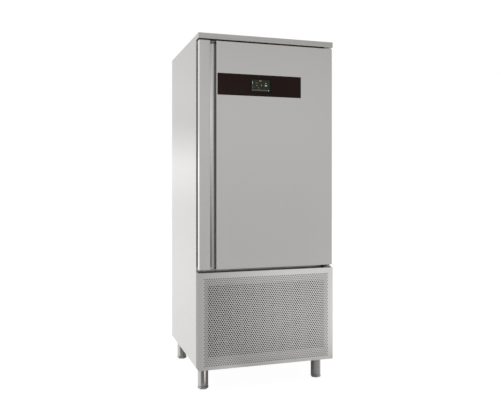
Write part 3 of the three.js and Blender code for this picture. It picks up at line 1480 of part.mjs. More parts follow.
// Warm tray under the drain, where the melted frost dries off.
function evaporationTray() {
  const [w, d, h] = [TRAY_SIZE[0] / 2, TRAY_SIZE[1] / 2, TRAY_SIZE[2]];
  const wall = TRAY_WALL;
  return cut(
    block([-w, w], [-d, d], [0, h]),
    block([wall - w, w - wall], [wall - d, d - wall], [wall, h + LAP]),
  );
}

piece(machine, 'evaporation_tray', greyPlastic, evaporationTray(), [DRAIN_X, drainY, floorSeat]);

// Cable gland through the base, empty: body, nut and dome.
function mainsInlet() {
  const r = GLAND_RADIUS;
  const low = baseBottom - SEAT;
  const high = BASE_FLOOR + SEAT;
  const [end, shoulder] = GLAND_DOME;
  const nut = r * GLAND_NUT[0];
  const top = high + GLAND_NUT[1];
  return turn([
    [GLAND_BORE, low - end],
    [r * GLAND_TIP, low - end],
    [nut, low - shoulder],
    [nut, low],
    [r, low],
    [r, high],
    [nut, high],
    [nut, top],
    [GLAND_BORE, top],
  ], GLAND_SIDES);
}

piece(machine, 'mains_inlet', darkPlastic, mainsInlet(), [GLAND_X, BACK - GLAND_FROM_BACK, 0]);

export default chiller;
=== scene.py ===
# %% [markdown]
# # An upright blast chiller in brushed stainless steel
#
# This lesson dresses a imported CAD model: a tall kitchen chiller with one door, a black glass control
# panel, a perforated sheet over the machines and four levelling feet. The CAD gives every part its
# place and its motion. Blender adds what the eye looks for: grain in the steel, soft bends, a real
# perforated sheet, wire, fins, rubber and glass.
#
# The script starts from an empty file, so that it gives the same result wherever it is run.

# %% Load the frame
import json
import math

import bmesh
import bpy
from mathutils import Matrix, Vector

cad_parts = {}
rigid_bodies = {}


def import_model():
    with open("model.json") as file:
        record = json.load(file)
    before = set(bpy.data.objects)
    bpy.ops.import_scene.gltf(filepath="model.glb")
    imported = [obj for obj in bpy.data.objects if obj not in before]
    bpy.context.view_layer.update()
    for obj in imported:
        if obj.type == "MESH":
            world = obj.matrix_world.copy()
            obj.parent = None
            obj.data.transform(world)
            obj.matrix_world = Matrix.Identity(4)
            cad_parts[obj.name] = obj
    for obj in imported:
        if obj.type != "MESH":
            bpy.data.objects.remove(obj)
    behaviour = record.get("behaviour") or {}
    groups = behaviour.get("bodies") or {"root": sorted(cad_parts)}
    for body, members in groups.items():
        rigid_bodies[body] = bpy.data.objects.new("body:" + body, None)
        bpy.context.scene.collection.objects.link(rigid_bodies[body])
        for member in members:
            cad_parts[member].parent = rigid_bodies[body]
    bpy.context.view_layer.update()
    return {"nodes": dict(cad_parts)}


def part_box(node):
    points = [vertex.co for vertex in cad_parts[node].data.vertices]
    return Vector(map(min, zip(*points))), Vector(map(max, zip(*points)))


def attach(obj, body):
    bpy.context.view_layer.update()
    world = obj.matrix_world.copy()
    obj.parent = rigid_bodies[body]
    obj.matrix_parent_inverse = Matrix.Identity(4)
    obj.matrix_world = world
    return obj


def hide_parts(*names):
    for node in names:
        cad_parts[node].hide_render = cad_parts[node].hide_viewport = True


for leftover in list(bpy.data.objects):
    bpy.data.objects.remove(leftover, do_unlink=True)

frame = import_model()
nodes = frame["nodes"]
MM = 0.001

# %% [markdown]
# ## The camera
#
# The picture was taken from the left, at the height of a standing photographer's chest, with the
# camera held level. A level camera keeps upright edges upright; the frame is then moved down with
# the lens shift, as on a view camera, and not by tilting. The values below come from fitting that
# kind of camera to the corners of the cabinet.

# %% Camera
SENSOR = 36.0
PICTURE_WIDTH, FOCAL_LENGTH = 501, 602.81  # both in pixels
EYE, HEADING, SHIFT = (-1.1059, -3.5728, 1.1532), -17.554, -0.0371  # metres, degrees, picture widths
camera_data = bpy.data.cameras.new("view_from_front_left")
camera_data.sensor_width = SENSOR
camera_data.lens = SENSOR * FOCAL_LENGTH / PICTURE_WIDTH
camera_data.shift_y = SHIFT
camera_data.clip_end = 60
camera = bpy.data.objects.new("view_from_front_left", camera_data)
camera.location = EYE
camera.rotation_euler = (math.radians(90), 0, math.radians(HEADING))
bpy.context.scene.collection.objects.link(camera)
bpy.context.scene.camera = camera
bpy.context.scene.view_settings.view_transform = "Standard"
print("lens", round(camera_data.lens, 2), "mm")

# %% [markdown]
# ## Helpers for colour and nodes
#
# Colours are given as sRGB hex values, but shaders work with linear light, so one function
# turns one into the other. A second one adds a node, with its settings and its links, because a
# material is easier to read as a short list of nodes than as a page of clicks.
#
# No real finish is one flat colour. So every finish here follows a mottling, a noise in the object's
# own coordinates whose patches have a real length in millimetres. It moves the colour and the gloss a
# little, and where the surface is not smooth, it raises a relief as well.

# %% Colour and node helpers
def linear(hex_colour):
    """An sRGB hex colour as linear red, green, blue and an alpha of 1."""
    shares = [int(hex_colour[i:i + 2], 16) / 255 for i in (1, 3, 5)]
    return tuple(s / 12.92 if s <= 0.04045 else ((s + 0.055) / 1.055) ** 2.4 for s in shares) + (1.0,)


def add_node(tree, kind, values=None, links=None, stops=(), **settings):
    """Adds one node. settings are its properties, values its unlinked inputs, links what feeds the
    others, and stops the (position, hex colour) pairs of a colour ramp."""
    node = tree.nodes.new(kind)
    for name, value in settings.items():
        setattr(node, name, value)
    for socket, value in (values or {}).items():
        node.inputs[socket].default_value = value
    for socket, source in (links or {}).items():
        tree.links.new(source, node.inputs[socket])
    if stops:
        marks = node.color_ramp.elements
        while len(marks) < len(stops):
            marks.new(0.5)
        for mark, (position, colour) in zip(marks, stops):
            mark.position = position
            mark.color = linear(colour)
    return node


def in_millimetres(tree, size_mm):
    """The object's own coordinates, scaled so that one unit is size_mm along each axis."""
    place = add_node(tree, "ShaderNodeTexCoord").outputs["Object"]
    scale = [1 / (size * MM) for size in size_mm]
    return add_node(tree, "ShaderNodeMapping", {"Scale": scale}, {"Vector": place}).outputs["Vector"]


def mottling(tree, size_mm, detail=2.0, roughness=0.5):
    """A cloudy pattern whose patches are about size_mm long on each axis."""
    values = {"Scale": 1.0, "Detail": detail, "Roughness": roughness}
    space = in_millimetres(tree, size_mm)
    return add_node(tree, "ShaderNodeTexNoise", values, {"Vector": space}).outputs["Fac"]


print("helpers for colour and nodes are ready")

# %% [markdown]
# ## One recipe for a finish
#
# A principled shader is enough for steel, plastic, enamel and glass alike. What differs is what feeds
# it. `tone_and_gloss` turns one pattern into a colour and one into a roughness. A noise rarely leaves
# the middle of its range, so that middle is what gets stretched between the two ends of a finish.

# %% Recipe for a finish
MIDDLE = (0.3, 0.7)


def tone_and_gloss(tree, tone, stops, gloss, roughness, reach=MIDDLE):
    """Colour from the tone pattern, and a roughness between two values from the gloss pattern."""
    colour = add_node(tree, "ShaderNodeValToRGB", links={"Fac": tone}, stops=stops)
    ends = {"From Min": reach[0], "From Max": reach[1], "To Min": roughness[0], "To Max": roughness[1]}
    rough = add_node(tree, "ShaderNodeMapRange", ends, {"Value": gloss})
    return {"Base Color": colour.outputs["Color"], "Roughness": rough.outputs["Result"]}


def material(name, values, feeds, relief=None, depth=0.0):
    """A principled surface. feeds(tree) gives its linked inputs, and relief(tree) a pattern that is
    raised by depth mm."""
    made = bpy.data.materials.new(name)
    made.use_nodes = True
    tree = made.node_tree
    tree.nodes.clear()
    shader = add_node(tree, "ShaderNodeBsdfPrincipled", values, feeds(tree))
    if relief:
        raised = {"Strength": 1.0, "Distance": depth * MM}
        bump = add_node(tree, "ShaderNodeBump", raised, {"Height": relief(tree)})
        tree.links.new(bump.outputs["Normal"], shader.inputs["Normal"])
    add_node(tree, "ShaderNodeOutputMaterial", links={"Surface": shader.outputs["BSDF"]})
    print("material", name)
    return made


def mottled(name, values, tone, colours, gloss, roughness, relief=None, depth=0.0, marks=MIDDLE):
    """A finish whose tone, gloss and relief follow mottlings. Each is three lengths in mm, and may
    have the noise's detail as a fourth number."""
    def pattern(tree, lengths):
        return mottling(tree, lengths[:3], *lengths[3:])

    def feeds(tree):
        stops = list(zip(marks, colours))
        return tone_and_gloss(tree, pattern(tree, tone), stops, pattern(tree, gloss), roughness)

    def bumps(tree):
        return pattern(tree, relief)

    return material(name, values, feeds, bumps if relief else None, depth)


# %% [markdown]
# ## Brushed stainless steel
#
# The outside is AISI 304 sheet, ground with an abrasive belt. The belt leaves fine parallel lines, so
# the sheet reflects as a soft blur with faint streaks along the grain. Real lines are about 0.2 mm
# apart, far too fine to show at this distance, so they are drawn 3 mm wide and 240 mm long. On the
# door and the sides the grain runs upright, on the nose and the lower panel it runs across.
#
# One mottling, stretched along the grain, drives three things: a very small change of colour, a small
# change of roughness, and a relief of a few thousandths of a millimetre. The blur itself is wider
# across the grain than along it. An anisotropic shader does that, and its tangent has to point across
# the grain on every face, however the face lies. The cross product of grain and normal gives it.

# %% Brushed steel
ACROSS_GRAIN, ALONG_GRAIN = 3.0, 240.0
STREAK, LINE_DEPTH = 0.03, 0.002
SKEW = 0.02  # the grain is a little askew, so that no face stands square to it


def across_grain(tree, along):
    """The direction in the surface that crosses a grain along axis 0, 1 or 2."""
    grain = [1.0 if axis == along else SKEW for axis in range(3)]
    in_world = add_node(tree, "ShaderNodeVectorTransform", {"Vector": grain}, vector_type="VECTOR",
                        convert_from="OBJECT", convert_to="WORLD")
    normal = add_node(tree, "ShaderNodeNewGeometry").outputs["Normal"]
    crossed = add_node(tree, "ShaderNodeVectorMath", links={0: in_world.outputs["Vector"], 1: normal},
                       operation="CROSS_PRODUCT")
    return crossed.outputs["Vector"]


def brushed(name, along, light, dark, roughness, anisotropy):
    """Steel ground along axis 0, 1 or 2. An anisotropy of 0 is steel that was rolled or turned bright."""
    size = [ALONG_GRAIN if axis == along else ACROSS_GRAIN for axis in range(3)]

    def lines(tree):
        return mottling(tree, size, detail=3.0, roughness=0.65)

    def feeds(tree):
        ground = lines(tree)
        stops = list(zip(MIDDLE, (dark, light)))
        surface = tone_and_gloss(tree, ground, stops, ground, (roughness - STREAK, roughness + STREAK))
        return {**surface, "Tangent": across_grain(tree, along)}

    return material(name, {"Metallic": 1.0, "Anisotropic": anisotropy}, feeds, lines, LINE_DEPTH)


# the face of the door: an even grey, since its blur takes in most of the room
door_steel = brushed("brushed_steel_upright", 2, "#bebdbb", "#bbbab8", 0.36, 0.8)
# side panels: the eye meets them at a slant, where the same grinding looks glossier
side_steel = brushed("brushed_steel_side", 2, "#bbb9b7", "#b6b5b3", 0.22, 0.6)
# nose and top cover, ground from left to right
nose_steel = brushed("brushed_steel_across", 0, "#bab8b6", "#aeacaa", 0.24, 0.85)
# the perforated panel, ground the same way but finer, so that light from the floor reaches far up
panel_steel = brushed("brushed_steel_panel", 0, "#bebcbb", "#bbb9b8", 0.34, 0.95)
# the bottom of the handle groove keeps the mill's bright finish and mirrors what stands before it
groove_steel = brushed("polished_steel_groove", 2, "#bbb9b7", "#b5b3b1", 0.12, 0.0)
# the folded edge of the door: a lighter copy of the door's steel, a painted highlight that draws a bright
# line between two dark gaps
edge_steel_painted_highlight = brushed("polished_edge_painted_highlight", 2, "#d4d2d0", "#cfcdcb", 0.12, 0.0)
# steel that faces other steel across a gap or a hole: a darker copy of the steel, painted shade for the light
# that does not reach it
painted_shade_steel = brushed("steel_with_painted_shade", 2, "#82817f", "#7c7b79", 0.30, 0.0)
# the frame that closes the outer holes of the panel: dull, and drawn darker as painted shade behind the sheet
backing_steel_painted_shade = brushed("steel_behind_the_holes_painted_shade", 0, "#868584", "#7e7d7c", 0.40, 0.0)
# the chamber: satin, so that it wipes clean
satin_steel = brushed("satin_steel_liner", 2, "#c2c1be", "#b6b4b1", 0.34, 0.5)
# legs, pins, tubes and wire: turned or drawn, with upright lights on them
turned_steel = brushed("turned_steel_legs", 2, "#b8b6b4", "#b0aeac", 0.24, 0.0)

# %% [markdown]
# ## Sheet metal and pipe
#
# Galvanised sheet has spangle, flat zinc crystals about 11 mm across that catch the light one by one,
# so a Voronoi pattern gives each cell its own grey and roughness. The fins of the coils are bare
# aluminium, and the pipes are copper that has dulled in broad brown clouds.

# %% Sheet metal and pipe
SPANGLE = 11


def spangle(tree):
    """Zinc crystals, each with a grey and a gloss of its own."""
    space = in_millimetres(tree, (SPANGLE, SPANGLE, SPANGLE))
    cells = add_node(tree, "ShaderNodeTexVoronoi", {"Scale": 1.0}, {"Vector": space})
    tone = add_node(tree, "ShaderNodeSeparateColor", links={"Color": cells.outputs["Color"]}).outputs["Red"]
    greys = [(0.0, "#9da0a2"), (0.5, "#a5a8a9"), (1.0, "#afb2b3")]
    return tone_and_gloss(tree, tone, greys, tone, (0.38, 0.50), reach=(0.0, 1.0))


galvanised = material("galvanised_sheet", {"Metallic": 0.95}, spangle)
# thin rolled fins, in bands 3 mm high: a silky grey comb
fin_aluminium = mottled("aluminium_fins", {"Metallic": 1.0}, (40, 40, 3), ("#b9bdc0", "#cfd2d4"),
                        (6, 6, 6), (0.36, 0.48))
# drawn copper pipe after some years: brown, with brighter places
copper = mottled("dulled_copper", {"Metallic": 1.0}, (30, 30, 30, 4), ("#6f4632", "#99603f"),
                 (12, 12, 12, 3), (0.28, 0.46), marks=(0.35, 0.6))

# %% [markdown]
# ## Enamel, plastic, rubber and foam
#
# These are all one kind of shader with other numbers. The compressor's can is black enamel with a
# slight orange peel, 3 mm from bump to bump. The profile round the door is extruded, so its pattern is
# drawn out along its length. Moulded parts have a fine etched grain, really about 0.2 mm and drawn at
# 1.2 mm, rubber is dull and black, and foam is a cream mass of small cells.

# %% Enamel, plastic, rubber and foam
# sprayed and baked: a soft sheen over a faint orange peel
black_enamel = mottled("black_enamel", {"Coat Weight": 0.3, "Coat Roughness": 0.1},
                       (60, 60, 60), ("#17181a", "#202124"), (8, 8, 8), (0.38, 0.5), (3, 3, 3), 0.03)
# extruded PVC: dark grey, with long faint lines from the die
dark_pvc = mottled("extruded_pvc", {"IOR": 1.53}, (5, 5, 120), ("#363738", "#3e3f40"),
                   (4, 4, 60), (0.5, 0.62), (2, 2, 60), 0.02)
# the seal: black, and too dull to mirror anything
black_rubber = mottled("soft_black_rubber", {"IOR": 1.5}, (20, 20, 20, 3), ("#1f1f1f", "#292929"),
                       (5, 5, 5), (0.7, 0.85), (1.5, 1.5, 1.5), 0.03)
# moulded ABS with an etched grain: housings, drain and tray
grey_abs = mottled("moulded_grey_abs", {"IOR": 1.54}, (50, 50, 50), ("#727476", "#7c7e80"),
                   (3, 3, 3), (0.48, 0.6), (1.2, 1.2, 1.2), 0.02)
# fan blades: nylon whose glass fibres make the gloss uneven
fan_plastic = mottled("glass_filled_nylon", {"IOR": 1.53}, (25, 25, 25), ("#2d2e30", "#353638"),
                      (4, 4, 4), (0.4, 0.55))
# polyurethane foam, cut open: cream, with cells of 2 mm
foam = mottled("rigid_foam", {"IOR": 1.4}, (6, 6, 6, 4), ("#d6cda0", "#e9e2bd"),
               (6, 6, 6), (0.88, 0.98), (2, 2, 2, 3), 0.4)

# %% [markdown]
# ## The printed glass
#
# The control panel is one pane with a black print on its back, and a display that shows through a
# clear window in the print. Pane glass has an IOR of 1.52, which would mirror the white studio as a
# grey veil. The real pane looks deep black with a brown cast, as one with an anti-glare coating does,
# so the IOR comes down to 1.2. The display is a dark olive grey with small generic signs on it.

# %% Glass and display
COATED_GLASS = 1.2
PIXEL_ROWS = (40, 40, 1.2)

# float glass over a black print with some red in it: nearly a mirror, but a dark one
printed_glass = mottled("printed_glass", {"IOR": COATED_GLASS}, (90, 90, 90), ("#1c0b06", "#1e0c08"),
                        (30, 30, 30), (0.05, 0.09))
# the display's surround, where the print is thinner and looks olive
display_mask = mottled("display_surround", {"IOR": COATED_GLASS}, (60, 60, 60), ("#0b0b02", "#0d0d03"),
                       (30, 30, 30), (0.06, 0.1))


def lit(name, dark, bright, glow):
    """A lit area of the display: faint rows of pixels, drawn 1.2 mm apart, and a weak glow."""
    def feeds(tree):
        rows = mottling(tree, PIXEL_ROWS)
        stops = list(zip(MIDDLE, (dark, bright)))
        tone = add_node(tree, "ShaderNodeValToRGB", links={"Fac": rows}, stops=stops).outputs["Color"]
        return {"Base Color": tone, "Emission Color": tone}

    return material(name, {"IOR": COATED_GLASS, "Roughness": 0.12, "Emission Strength": glow}, feeds)


display_dark = lit("display_field", "#26271f", "#2e2f25", 0.1)
display_grey = lit("display_grey", "#64655e", "#73746d", 0.2)
display_white = lit("display_white", "#b0b4b2", "#c6cac8", 0.3)
display_amber = lit("display_amber", "#5e4a16", "#6e5719", 0.3)

# %% [markdown]
# ## Outlines and prisms
#
# Sheet metal is a path with a thickness, pulled along one axis, so most parts here are drawn as the
# outline a folding machine would give them. Sizes are in millimetres, as on a drawing. A shape is a
# pair of lists, points and faces, until it becomes a piece.

# %% Outlines and prisms
def prism(outline, axis, low, high):
    """A closed outline pulled along an axis. Its two coordinates are the other axes, in the order X, Y, Z."""
    order = {"x": lambda u, v, w: (w, u, v), "y": lambda u, v, w: (u, w, v), "z": lambda u, v, w: (u, v, w)}
    n = len(outline)
    points = [order[axis](u, v, w) for w in (low, high) for u, v in outline]
    sides = [(i, (i + 1) % n, n + (i + 1) % n, n + i) for i in range(n)]
    return points, [tuple(range(n)), tuple(range(n, 2 * n))] + sides


def block(x, y, z):
    """A box from its (low, high) spans."""
    return prism([(x[0], y[0]), (x[1], y[0]), (x[1], y[1]), (x[0], y[1])], "z", *z)


def rounded(path, steps=6, closed=False):
    """A path with its corners rounded. A corner is (x, y) or (x, y, radius)."""
    result = []
    n = len(path)
    for i, corner in enumerate(path):
        radius = corner[2] if len(corner) > 2 else 0
        point = Vector(corner[:2])
        if not radius or (not closed and i in (0, n - 1)):
            result.append(tuple(point))
            continue
        before = (Vector(path[i - 1][:2]) - point).normalized()
        after = (Vector(path[(i + 1) % n][:2]) - point).normalized()
        half = math.acos(max(-1, min(1, before.dot(after)))) / 2
        reach = radius / math.tan(half)
        centre = point + (before + after).normalized() * (radius / math.sin(half))
        start, end = point + before * reach - centre, point + after * reach - centre
        sweep = math.atan2(start.x * end.y - start.y * end.x, start.dot(end))
        for k in range(steps + 1):
            result.append(tuple(centre + Matrix.Rotation(sweep * k / steps, 2) @ start))
    return result


def beside(path, distance):
    """The path moved to its left, with mitred corners."""
    result = []
    for i in range(len(path)):
        into = (Vector(path[max(i, 1)]) - Vector(path[max(i, 1) - 1])).normalized()
        j = min(i, len(path) - 2)
        out = (Vector(path[j + 1]) - Vector(path[j])).normalized()
        mitre = (into + out).normalized()
        left = Vector((-mitre.y, mitre.x)) * (distance / mitre.dot(out))
        result.append(tuple(Vector(path[i]) + left))
    return result


def sheet(path, thickness):
    """The outline of a folded sheet whose outer face follows the path."""
    return list(path) + beside(path, thickness)[::-1]


def slab(x, z, radius, near, far, steps=5):
    """An upright plate with rounded corners, seen from the front."""
    corners = [(x[0], z[0], radius), (x[1], z[0], radius), (x[1], z[1], radius), (x[0], z[1], radius)]
    return prism(rounded(corners, steps, closed=True), "y", near, far)


print("helpers for outlines are ready")

# %% [markdown]
# ## Lathe work
#
# Legs, pins, motors and pressure vessels are round, so they are profiles turned about an axis. A screw
# modifier would do the same, but points made in code can be welded into one mesh with other shapes.

# %% Lathe work
def turned(profile, sides=64, closed=False):
    """A profile of (radius, height) turned about Z. A closed one comes back to its start, as a ring does."""
    n = len(profile)
    angles = [2 * math.pi * k / sides for k in range(sides)]
    points = [(r * math.cos(a), r * math.sin(a), h) for a in angles for r, h in profile]
    runs = n if closed else n - 1
    faces = [
        (k * n + i, k * n + (i + 1) % n, (k + 1) % sides * n + (i + 1) % n, (k + 1) % sides * n + i)
        for k in range(sides) for i in range(runs)
    ]
    return points, faces


def placed(shape, at=(0, 0, 0), axis="z", spin=0.0):
    """The shape turned by spin about its own Z, that Z laid along an axis, then moved."""
    tilt, about = {"z": (0, "X"), "y": (-90, "X"), "-y": (90, "X"), "x": (90, "Y")}[axis]
    laid = Matrix.Rotation(math.radians(tilt), 4, about) @ Matrix.Rotation(spin, 4, "Z")
    matrix = Matrix.Translation(at) @ laid
    return [tuple(matrix @ Vector(p)) for p in shape[0]], shape[1]


print("helpers for lathe work are ready")

# %% [markdown]
# ## From shapes to pieces
#
# One function turns a list of shapes into a finished piece. It welds the points, turns the faces
# outwards, shades bends smooth and edges sharp, and breaks the edges with a small bevel, called an
# arris in the workshop, because no cut edge is perfectly sharp. Then it puts the piece on the body that
# carries it and hides the CAD part it takes the place of.

# %% Pieces
SHARP = 35  # degrees; two faces that meet at more than this have an edge between them


def hand_over(made, body, cad):
    """Puts a new object in the scene, on its body."""
    bpy.context.scene.collection.objects.link(made)
    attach(made, body)
    if cad:
        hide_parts(*cad)
    return made


def break_edges(made, arris, angle=SHARP):
    """A bevel of arris mm on the edges sharper than angle."""
    bevel = made.modifiers.new("arris", "BEVEL")
    bevel.width = arris * MM
    bevel.segments = 2
    bevel.limit_method = "ANGLE"
    bevel.angle_limit = math.radians(angle)
    return bevel


def piece(name, parts, body="cabinet", cad=(), arris=0.0, angle=SHARP):
    """A piece from (shape, material) parts, in millimetres."""
    mesh = bpy.data.meshes.new(name)
    points, faces, finishes, used = [], [], [], []
    for (part_points, part_faces), finish in parts:
        base = len(points)
        points += [(x * MM, y * MM, z * MM) for x, y, z in part_points]
        faces += [tuple(base + i for i in face) for face in part_faces]
        if finish not in used:
            used.append(finish)
        finishes += [used.index(finish)] * len(part_faces)
    mesh.from_pydata(points, [], faces)
    for finish in used:
        mesh.materials.append(finish)
    mesh.polygons.foreach_set("material_index", finishes)
    work = bmesh.new()
    work.from_mesh(mesh)
    bmesh.ops.remove_doubles(work, verts=work.verts, dist=1e-6)
    bmesh.ops.recalc_face_normals(work, faces=work.faces)
    work.to_mesh(mesh)
    work.free()
    mesh.polygons.foreach_set("use_smooth", [True] * len(mesh.polygons))
    mesh.set_sharp_from_angle(angle=math.radians(angle))
    made = bpy.data.objects.new(name, mesh)
    if arris:
        break_edges(made, arris, angle).harden_normals = True
    return hand_over(made, body, cad)


def thicken(made, thickness, cut_edge=0):
    """Gives an upright flat sheet its thickness, backwards from its front face. cut_edge picks the
    material of its cut edges."""
    if made.data.polygons[0].normal.y > 0:
        made.data.flip_normals()
    made.data.polygons.foreach_set("use_smooth", [False] * len(made.data.polygons))
    solid = made.modifiers.new("sheet_thickness", "SOLIDIFY")
    solid.thickness = thickness * MM
    solid.offset = -1
    solid.material_offset_rim = cut_edge


print("helpers for pieces are ready")

# %% [markdown]
# ## Wire and pipe
#
# Wire, rod and pipe are curves with a round bevel. A curve keeps its bends smooth at any thickness, and
# its route reads like a bending list: straight runs, with one radius for all bends.

# %% Wire and pipe
def rods(name, routes, radius, finish, body="cabinet", cad=(), sides=3):
    """Wires or pipes of one radius, each a route of points. A route that ends where it starts is a ring."""
    data = bpy.data.curves.new(name, "CURVE")
    data.dimensions = "3D"
    data.bevel_depth = radius * MM
    data.bevel_resolution = sides
    data.use_fill_caps = True
    for route in routes:
        ring = (Vector(route[0]) - Vector(route[-1])).length < 1e-6
        stations = route[:-1] if ring else route
        spline = data.splines.new("POLY")
        spline.points.add(len(stations) - 1)
        for point, (x, y, z) in zip(spline.points, stations):
            point.co = (x * MM, y * MM, z * MM, 1)
        spline.use_cyclic_u = ring
        spline.use_smooth = True
    data.materials.append(finish)
    return hand_over(bpy.data.objects.new(name, data), body, cad)


def bent_route(corners, bend, steps=8):
    """A route of straight runs with round bends between them."""
    route = [Vector(corners[0])]
    for i in range(1, len(corners) - 1):
        point = Vector(corners[i])
        start = point + (Vector(corners[i - 1]) - point).normalized() * bend
        end = point + (Vector(corners[i + 1]) - point).normalized() * bend
        for k in range(steps + 1):
            t = k / steps
            route.append(start * (1 - t) ** 2 + point * 2 * t * (1 - t) + end * t ** 2)
    return [tuple(p) for p in route + [Vector(corners[-1])]]


print("helpers for wire and pipe are ready")

# %% [markdown]
# ## The sheets of the cabinet
#
# Side panels, top cover, front frame and the frame behind the lower panel are plain folded sheets, and
# the CAD has them right. They stay as they are and get the steel, and a bevel modifier of half a
# millimetre, because a folded edge always catches a thin line of light. The bevel needs the CAD's
# split points welded first, and weighted normals afterwards keep the large faces flat.

# %% Cabinet sheets
def dress(node_names, finish, arris=0.0):
    """Gives CAD parts a finish and, with modifiers only, a small arris on their edges."""
    for node_name in node_names:
        node = nodes[node_name]
        for material_slot in node.material_slots:
            material_slot.material = finish
        if arris:
            node.modifiers.new("weld", "WELD").merge_threshold = 1e-5
            break_edges(node, arris)
            node.modifiers.new("flat_faces", "WEIGHTED_NORMAL").keep_sharp = True
    print("dressed", ", ".join(node_names))


dress(["side_panel_left", "side_panel_right"], side_steel, 0.5)
dress(["top_cover"], nose_steel, 0.5)
dress(["front_frame"], door_steel)
# the backing frame's darker steel is painted shade behind the perforated sheet
dress(["panel_backing_frame"], backing_steel_painted_shade, 0.5)
dress(["chamber_liner"], satin_steel)
dress(["insulation", "door_insulation"], foam)
dress(["rear_panel"], galvanised, 1.0)
dress(["compartment_deck", "base_frame", "electrical_box"], galvanised, 0.4)
dress(["control_housing"], grey_abs)
dress(["display_module"], display_mask)

# %% [markdown]
# ## The perforated lower panel
#
# Air for the condenser is drawn through about 2,600 round holes of 8.6 mm, 13.1 mm apart in a row, in
# rows 10.2 mm apart that are staggered by half a pitch. An image or a bump map would give them away at
# a slant, and cutting them with booleans is slow. Instead the sheet is tiled: each hole sits in its own
# small rectangle, whose border carries a point halfway along its top and bottom, so that the next row,
# shifted by half a tile, meets it point to point. A solidify modifier then gives the sheet its 1.2 mm,
# and the cut edges a darker steel: painted shade for the inside of the holes.

# %% Perforated panel
HOLE, PITCH, ROW = 8.6, 13.12, 10.18
HOLES_IN_ROW, ROWS, FIELD_MIDDLE = 56, 47, 392.0
HALF_WIDTH, FRONT, PANEL_LOW, PANEL_HIGH, SHEET = 395.0, -400.0, 135.0, 661.0, 1.2
HOLE_SIDES = 12  # two for each of the six points on a tile's border


def perforated_face():
    """The front face of the sheet: tiles with holes, then the plain border round them."""
    points, faces, index = [], [], {}

    def at(x, z):
        key = (round(x, 3), round(z, 3))
        if key not in index:
            index[key] = len(points)
            points.append((x, FRONT, z))
        return index[key]

    right, high = HOLES_IN_ROW * PITCH / 2, FIELD_MIDDLE + ROWS * ROW / 2
    left, low = -right, high - ROWS * ROW
    for row in range(ROWS):
        z0, z1 = low + row * ROW, low + (row + 1) * ROW
        start, count = left, HOLES_IN_ROW
        if row % 2:
            start, count = left + PITCH / 2, HOLES_IN_ROW - 1
            for blank in (left, right - PITCH / 2):
                middle = blank + PITCH / 2
                faces.append((at(blank, z0), at(middle, z0), at(middle, z1), at(blank, z1)))
        for column in range(count):
            x0 = start + column * PITCH
            xm, x1, zm = x0 + PITCH / 2, x0 + PITCH, (z0 + z1) / 2
            border = [at(x1, z0), at(x1, z1), at(xm, z1), at(x0, z1), at(x0, z0), at(xm, z0)]
            # the hole's points start at the tile's lower right corner and go round with the border
            turns = [2 * math.pi * k / HOLE_SIDES - math.pi / 6 for k in range(HOLE_SIDES)]
            rim = [at(xm + HOLE / 2 * math.cos(a), zm + HOLE / 2 * math.sin(a)) for a in turns]
            for k in range(6):
                arc = rim[(2 * k + 2) % HOLE_SIDES], rim[2 * k + 1], rim[2 * k]
                faces.append((border[k], border[(k + 1) % 6], *arc))
    lows = [at(left + k * PITCH / 2, low) for k in range(2 * HOLES_IN_ROW + 1)]
    highs = [at(left + k * PITCH / 2, high) for k in range(2 * HOLES_IN_ROW + 1)]
    lefts = [at(left, low + k * ROW) for k in range(ROWS + 1)]
    rights = [at(right, low + k * ROW) for k in range(ROWS + 1)]
    a, b = at(-HALF_WIDTH, PANEL_LOW), at(HALF_WIDTH, PANEL_LOW)
    c, d = at(HALF_WIDTH, PANEL_HIGH), at(-HALF_WIDTH, PANEL_HIGH)
    faces += [(a, b, *lows[::-1]), (b, c, *rights[::-1]), (c, d, *highs), (d, a, *lefts)]
    return points, faces


panel = piece("perforated_panel", [(perforated_face(), panel_steel)], cad=["lower_front_panel"])
# the cut edges of the holes take the darker steel: painted shade
panel.data.materials.append(painted_shade_steel)
thicken(panel, SHEET, cut_edge=1)
print("holes:", HOLES_IN_ROW * ROWS - ROWS // 2, "faces:", len(panel.data.polygons))

# %% [markdown]
# ## The dust filter
#
# Through the holes one sees nothing but dark. A pleated black filter keeps the dust out of the condenser,
# and its black is also painted shade: it stands in for the shade inside the compartment. It is a cloth
# folded to and fro, in a flat plastic frame that sits behind the opening.

# %% Dust filter
# needled polyester felt: black, with no gloss at all; its black is painted shade for the dark behind the
# holes
filter_cloth_painted_shade = mottled("black_filter_cloth_painted_shade", {"IOR": 1.45}, (4, 4, 4, 3), ("#0b0b0c", "#161617"),
                       (3, 3, 3), (0.85, 0.95), (1, 1, 1), 0.1)
FILTER_X, FILTER_Z = (-348.0, 348.0), (197.0, 599.0)
FILTER_DEPTH, FILTER_BAR, PLEATS = (-394.0, -384.0), 8, 70
inner_x = (FILTER_X[0] + FILTER_BAR, FILTER_X[1] - FILTER_BAR)
fold = (inner_x[1] - inner_x[0]) / (2 * PLEATS)
fold_depths = (FILTER_DEPTH[1] - 1, FILTER_DEPTH[0] + 1)
folds_path = [(inner_x[0] + fold * k, fold_depths[k % 2]) for k in range(2 * PLEATS + 1)]
cloth = prism(sheet(folds_path, 0.5), "z", FILTER_Z[0] + 6, FILTER_Z[1] - 6)
frame_bars = [
    block((FILTER_X[0], inner_x[0]), FILTER_DEPTH, FILTER_Z),
    block((inner_x[1], FILTER_X[1]), FILTER_DEPTH, FILTER_Z),
    block(inner_x, FILTER_DEPTH, (FILTER_Z[0], FILTER_Z[0] + FILTER_BAR)),
    block(inner_x, FILTER_DEPTH, (FILTER_Z[1] - FILTER_BAR, FILTER_Z[1])),
]
piece("dust_filter", [(cloth, filter_cloth_painted_shade)] + [(bar, dark_pvc) for bar in frame_bars])
print("pleats:", PLEATS)
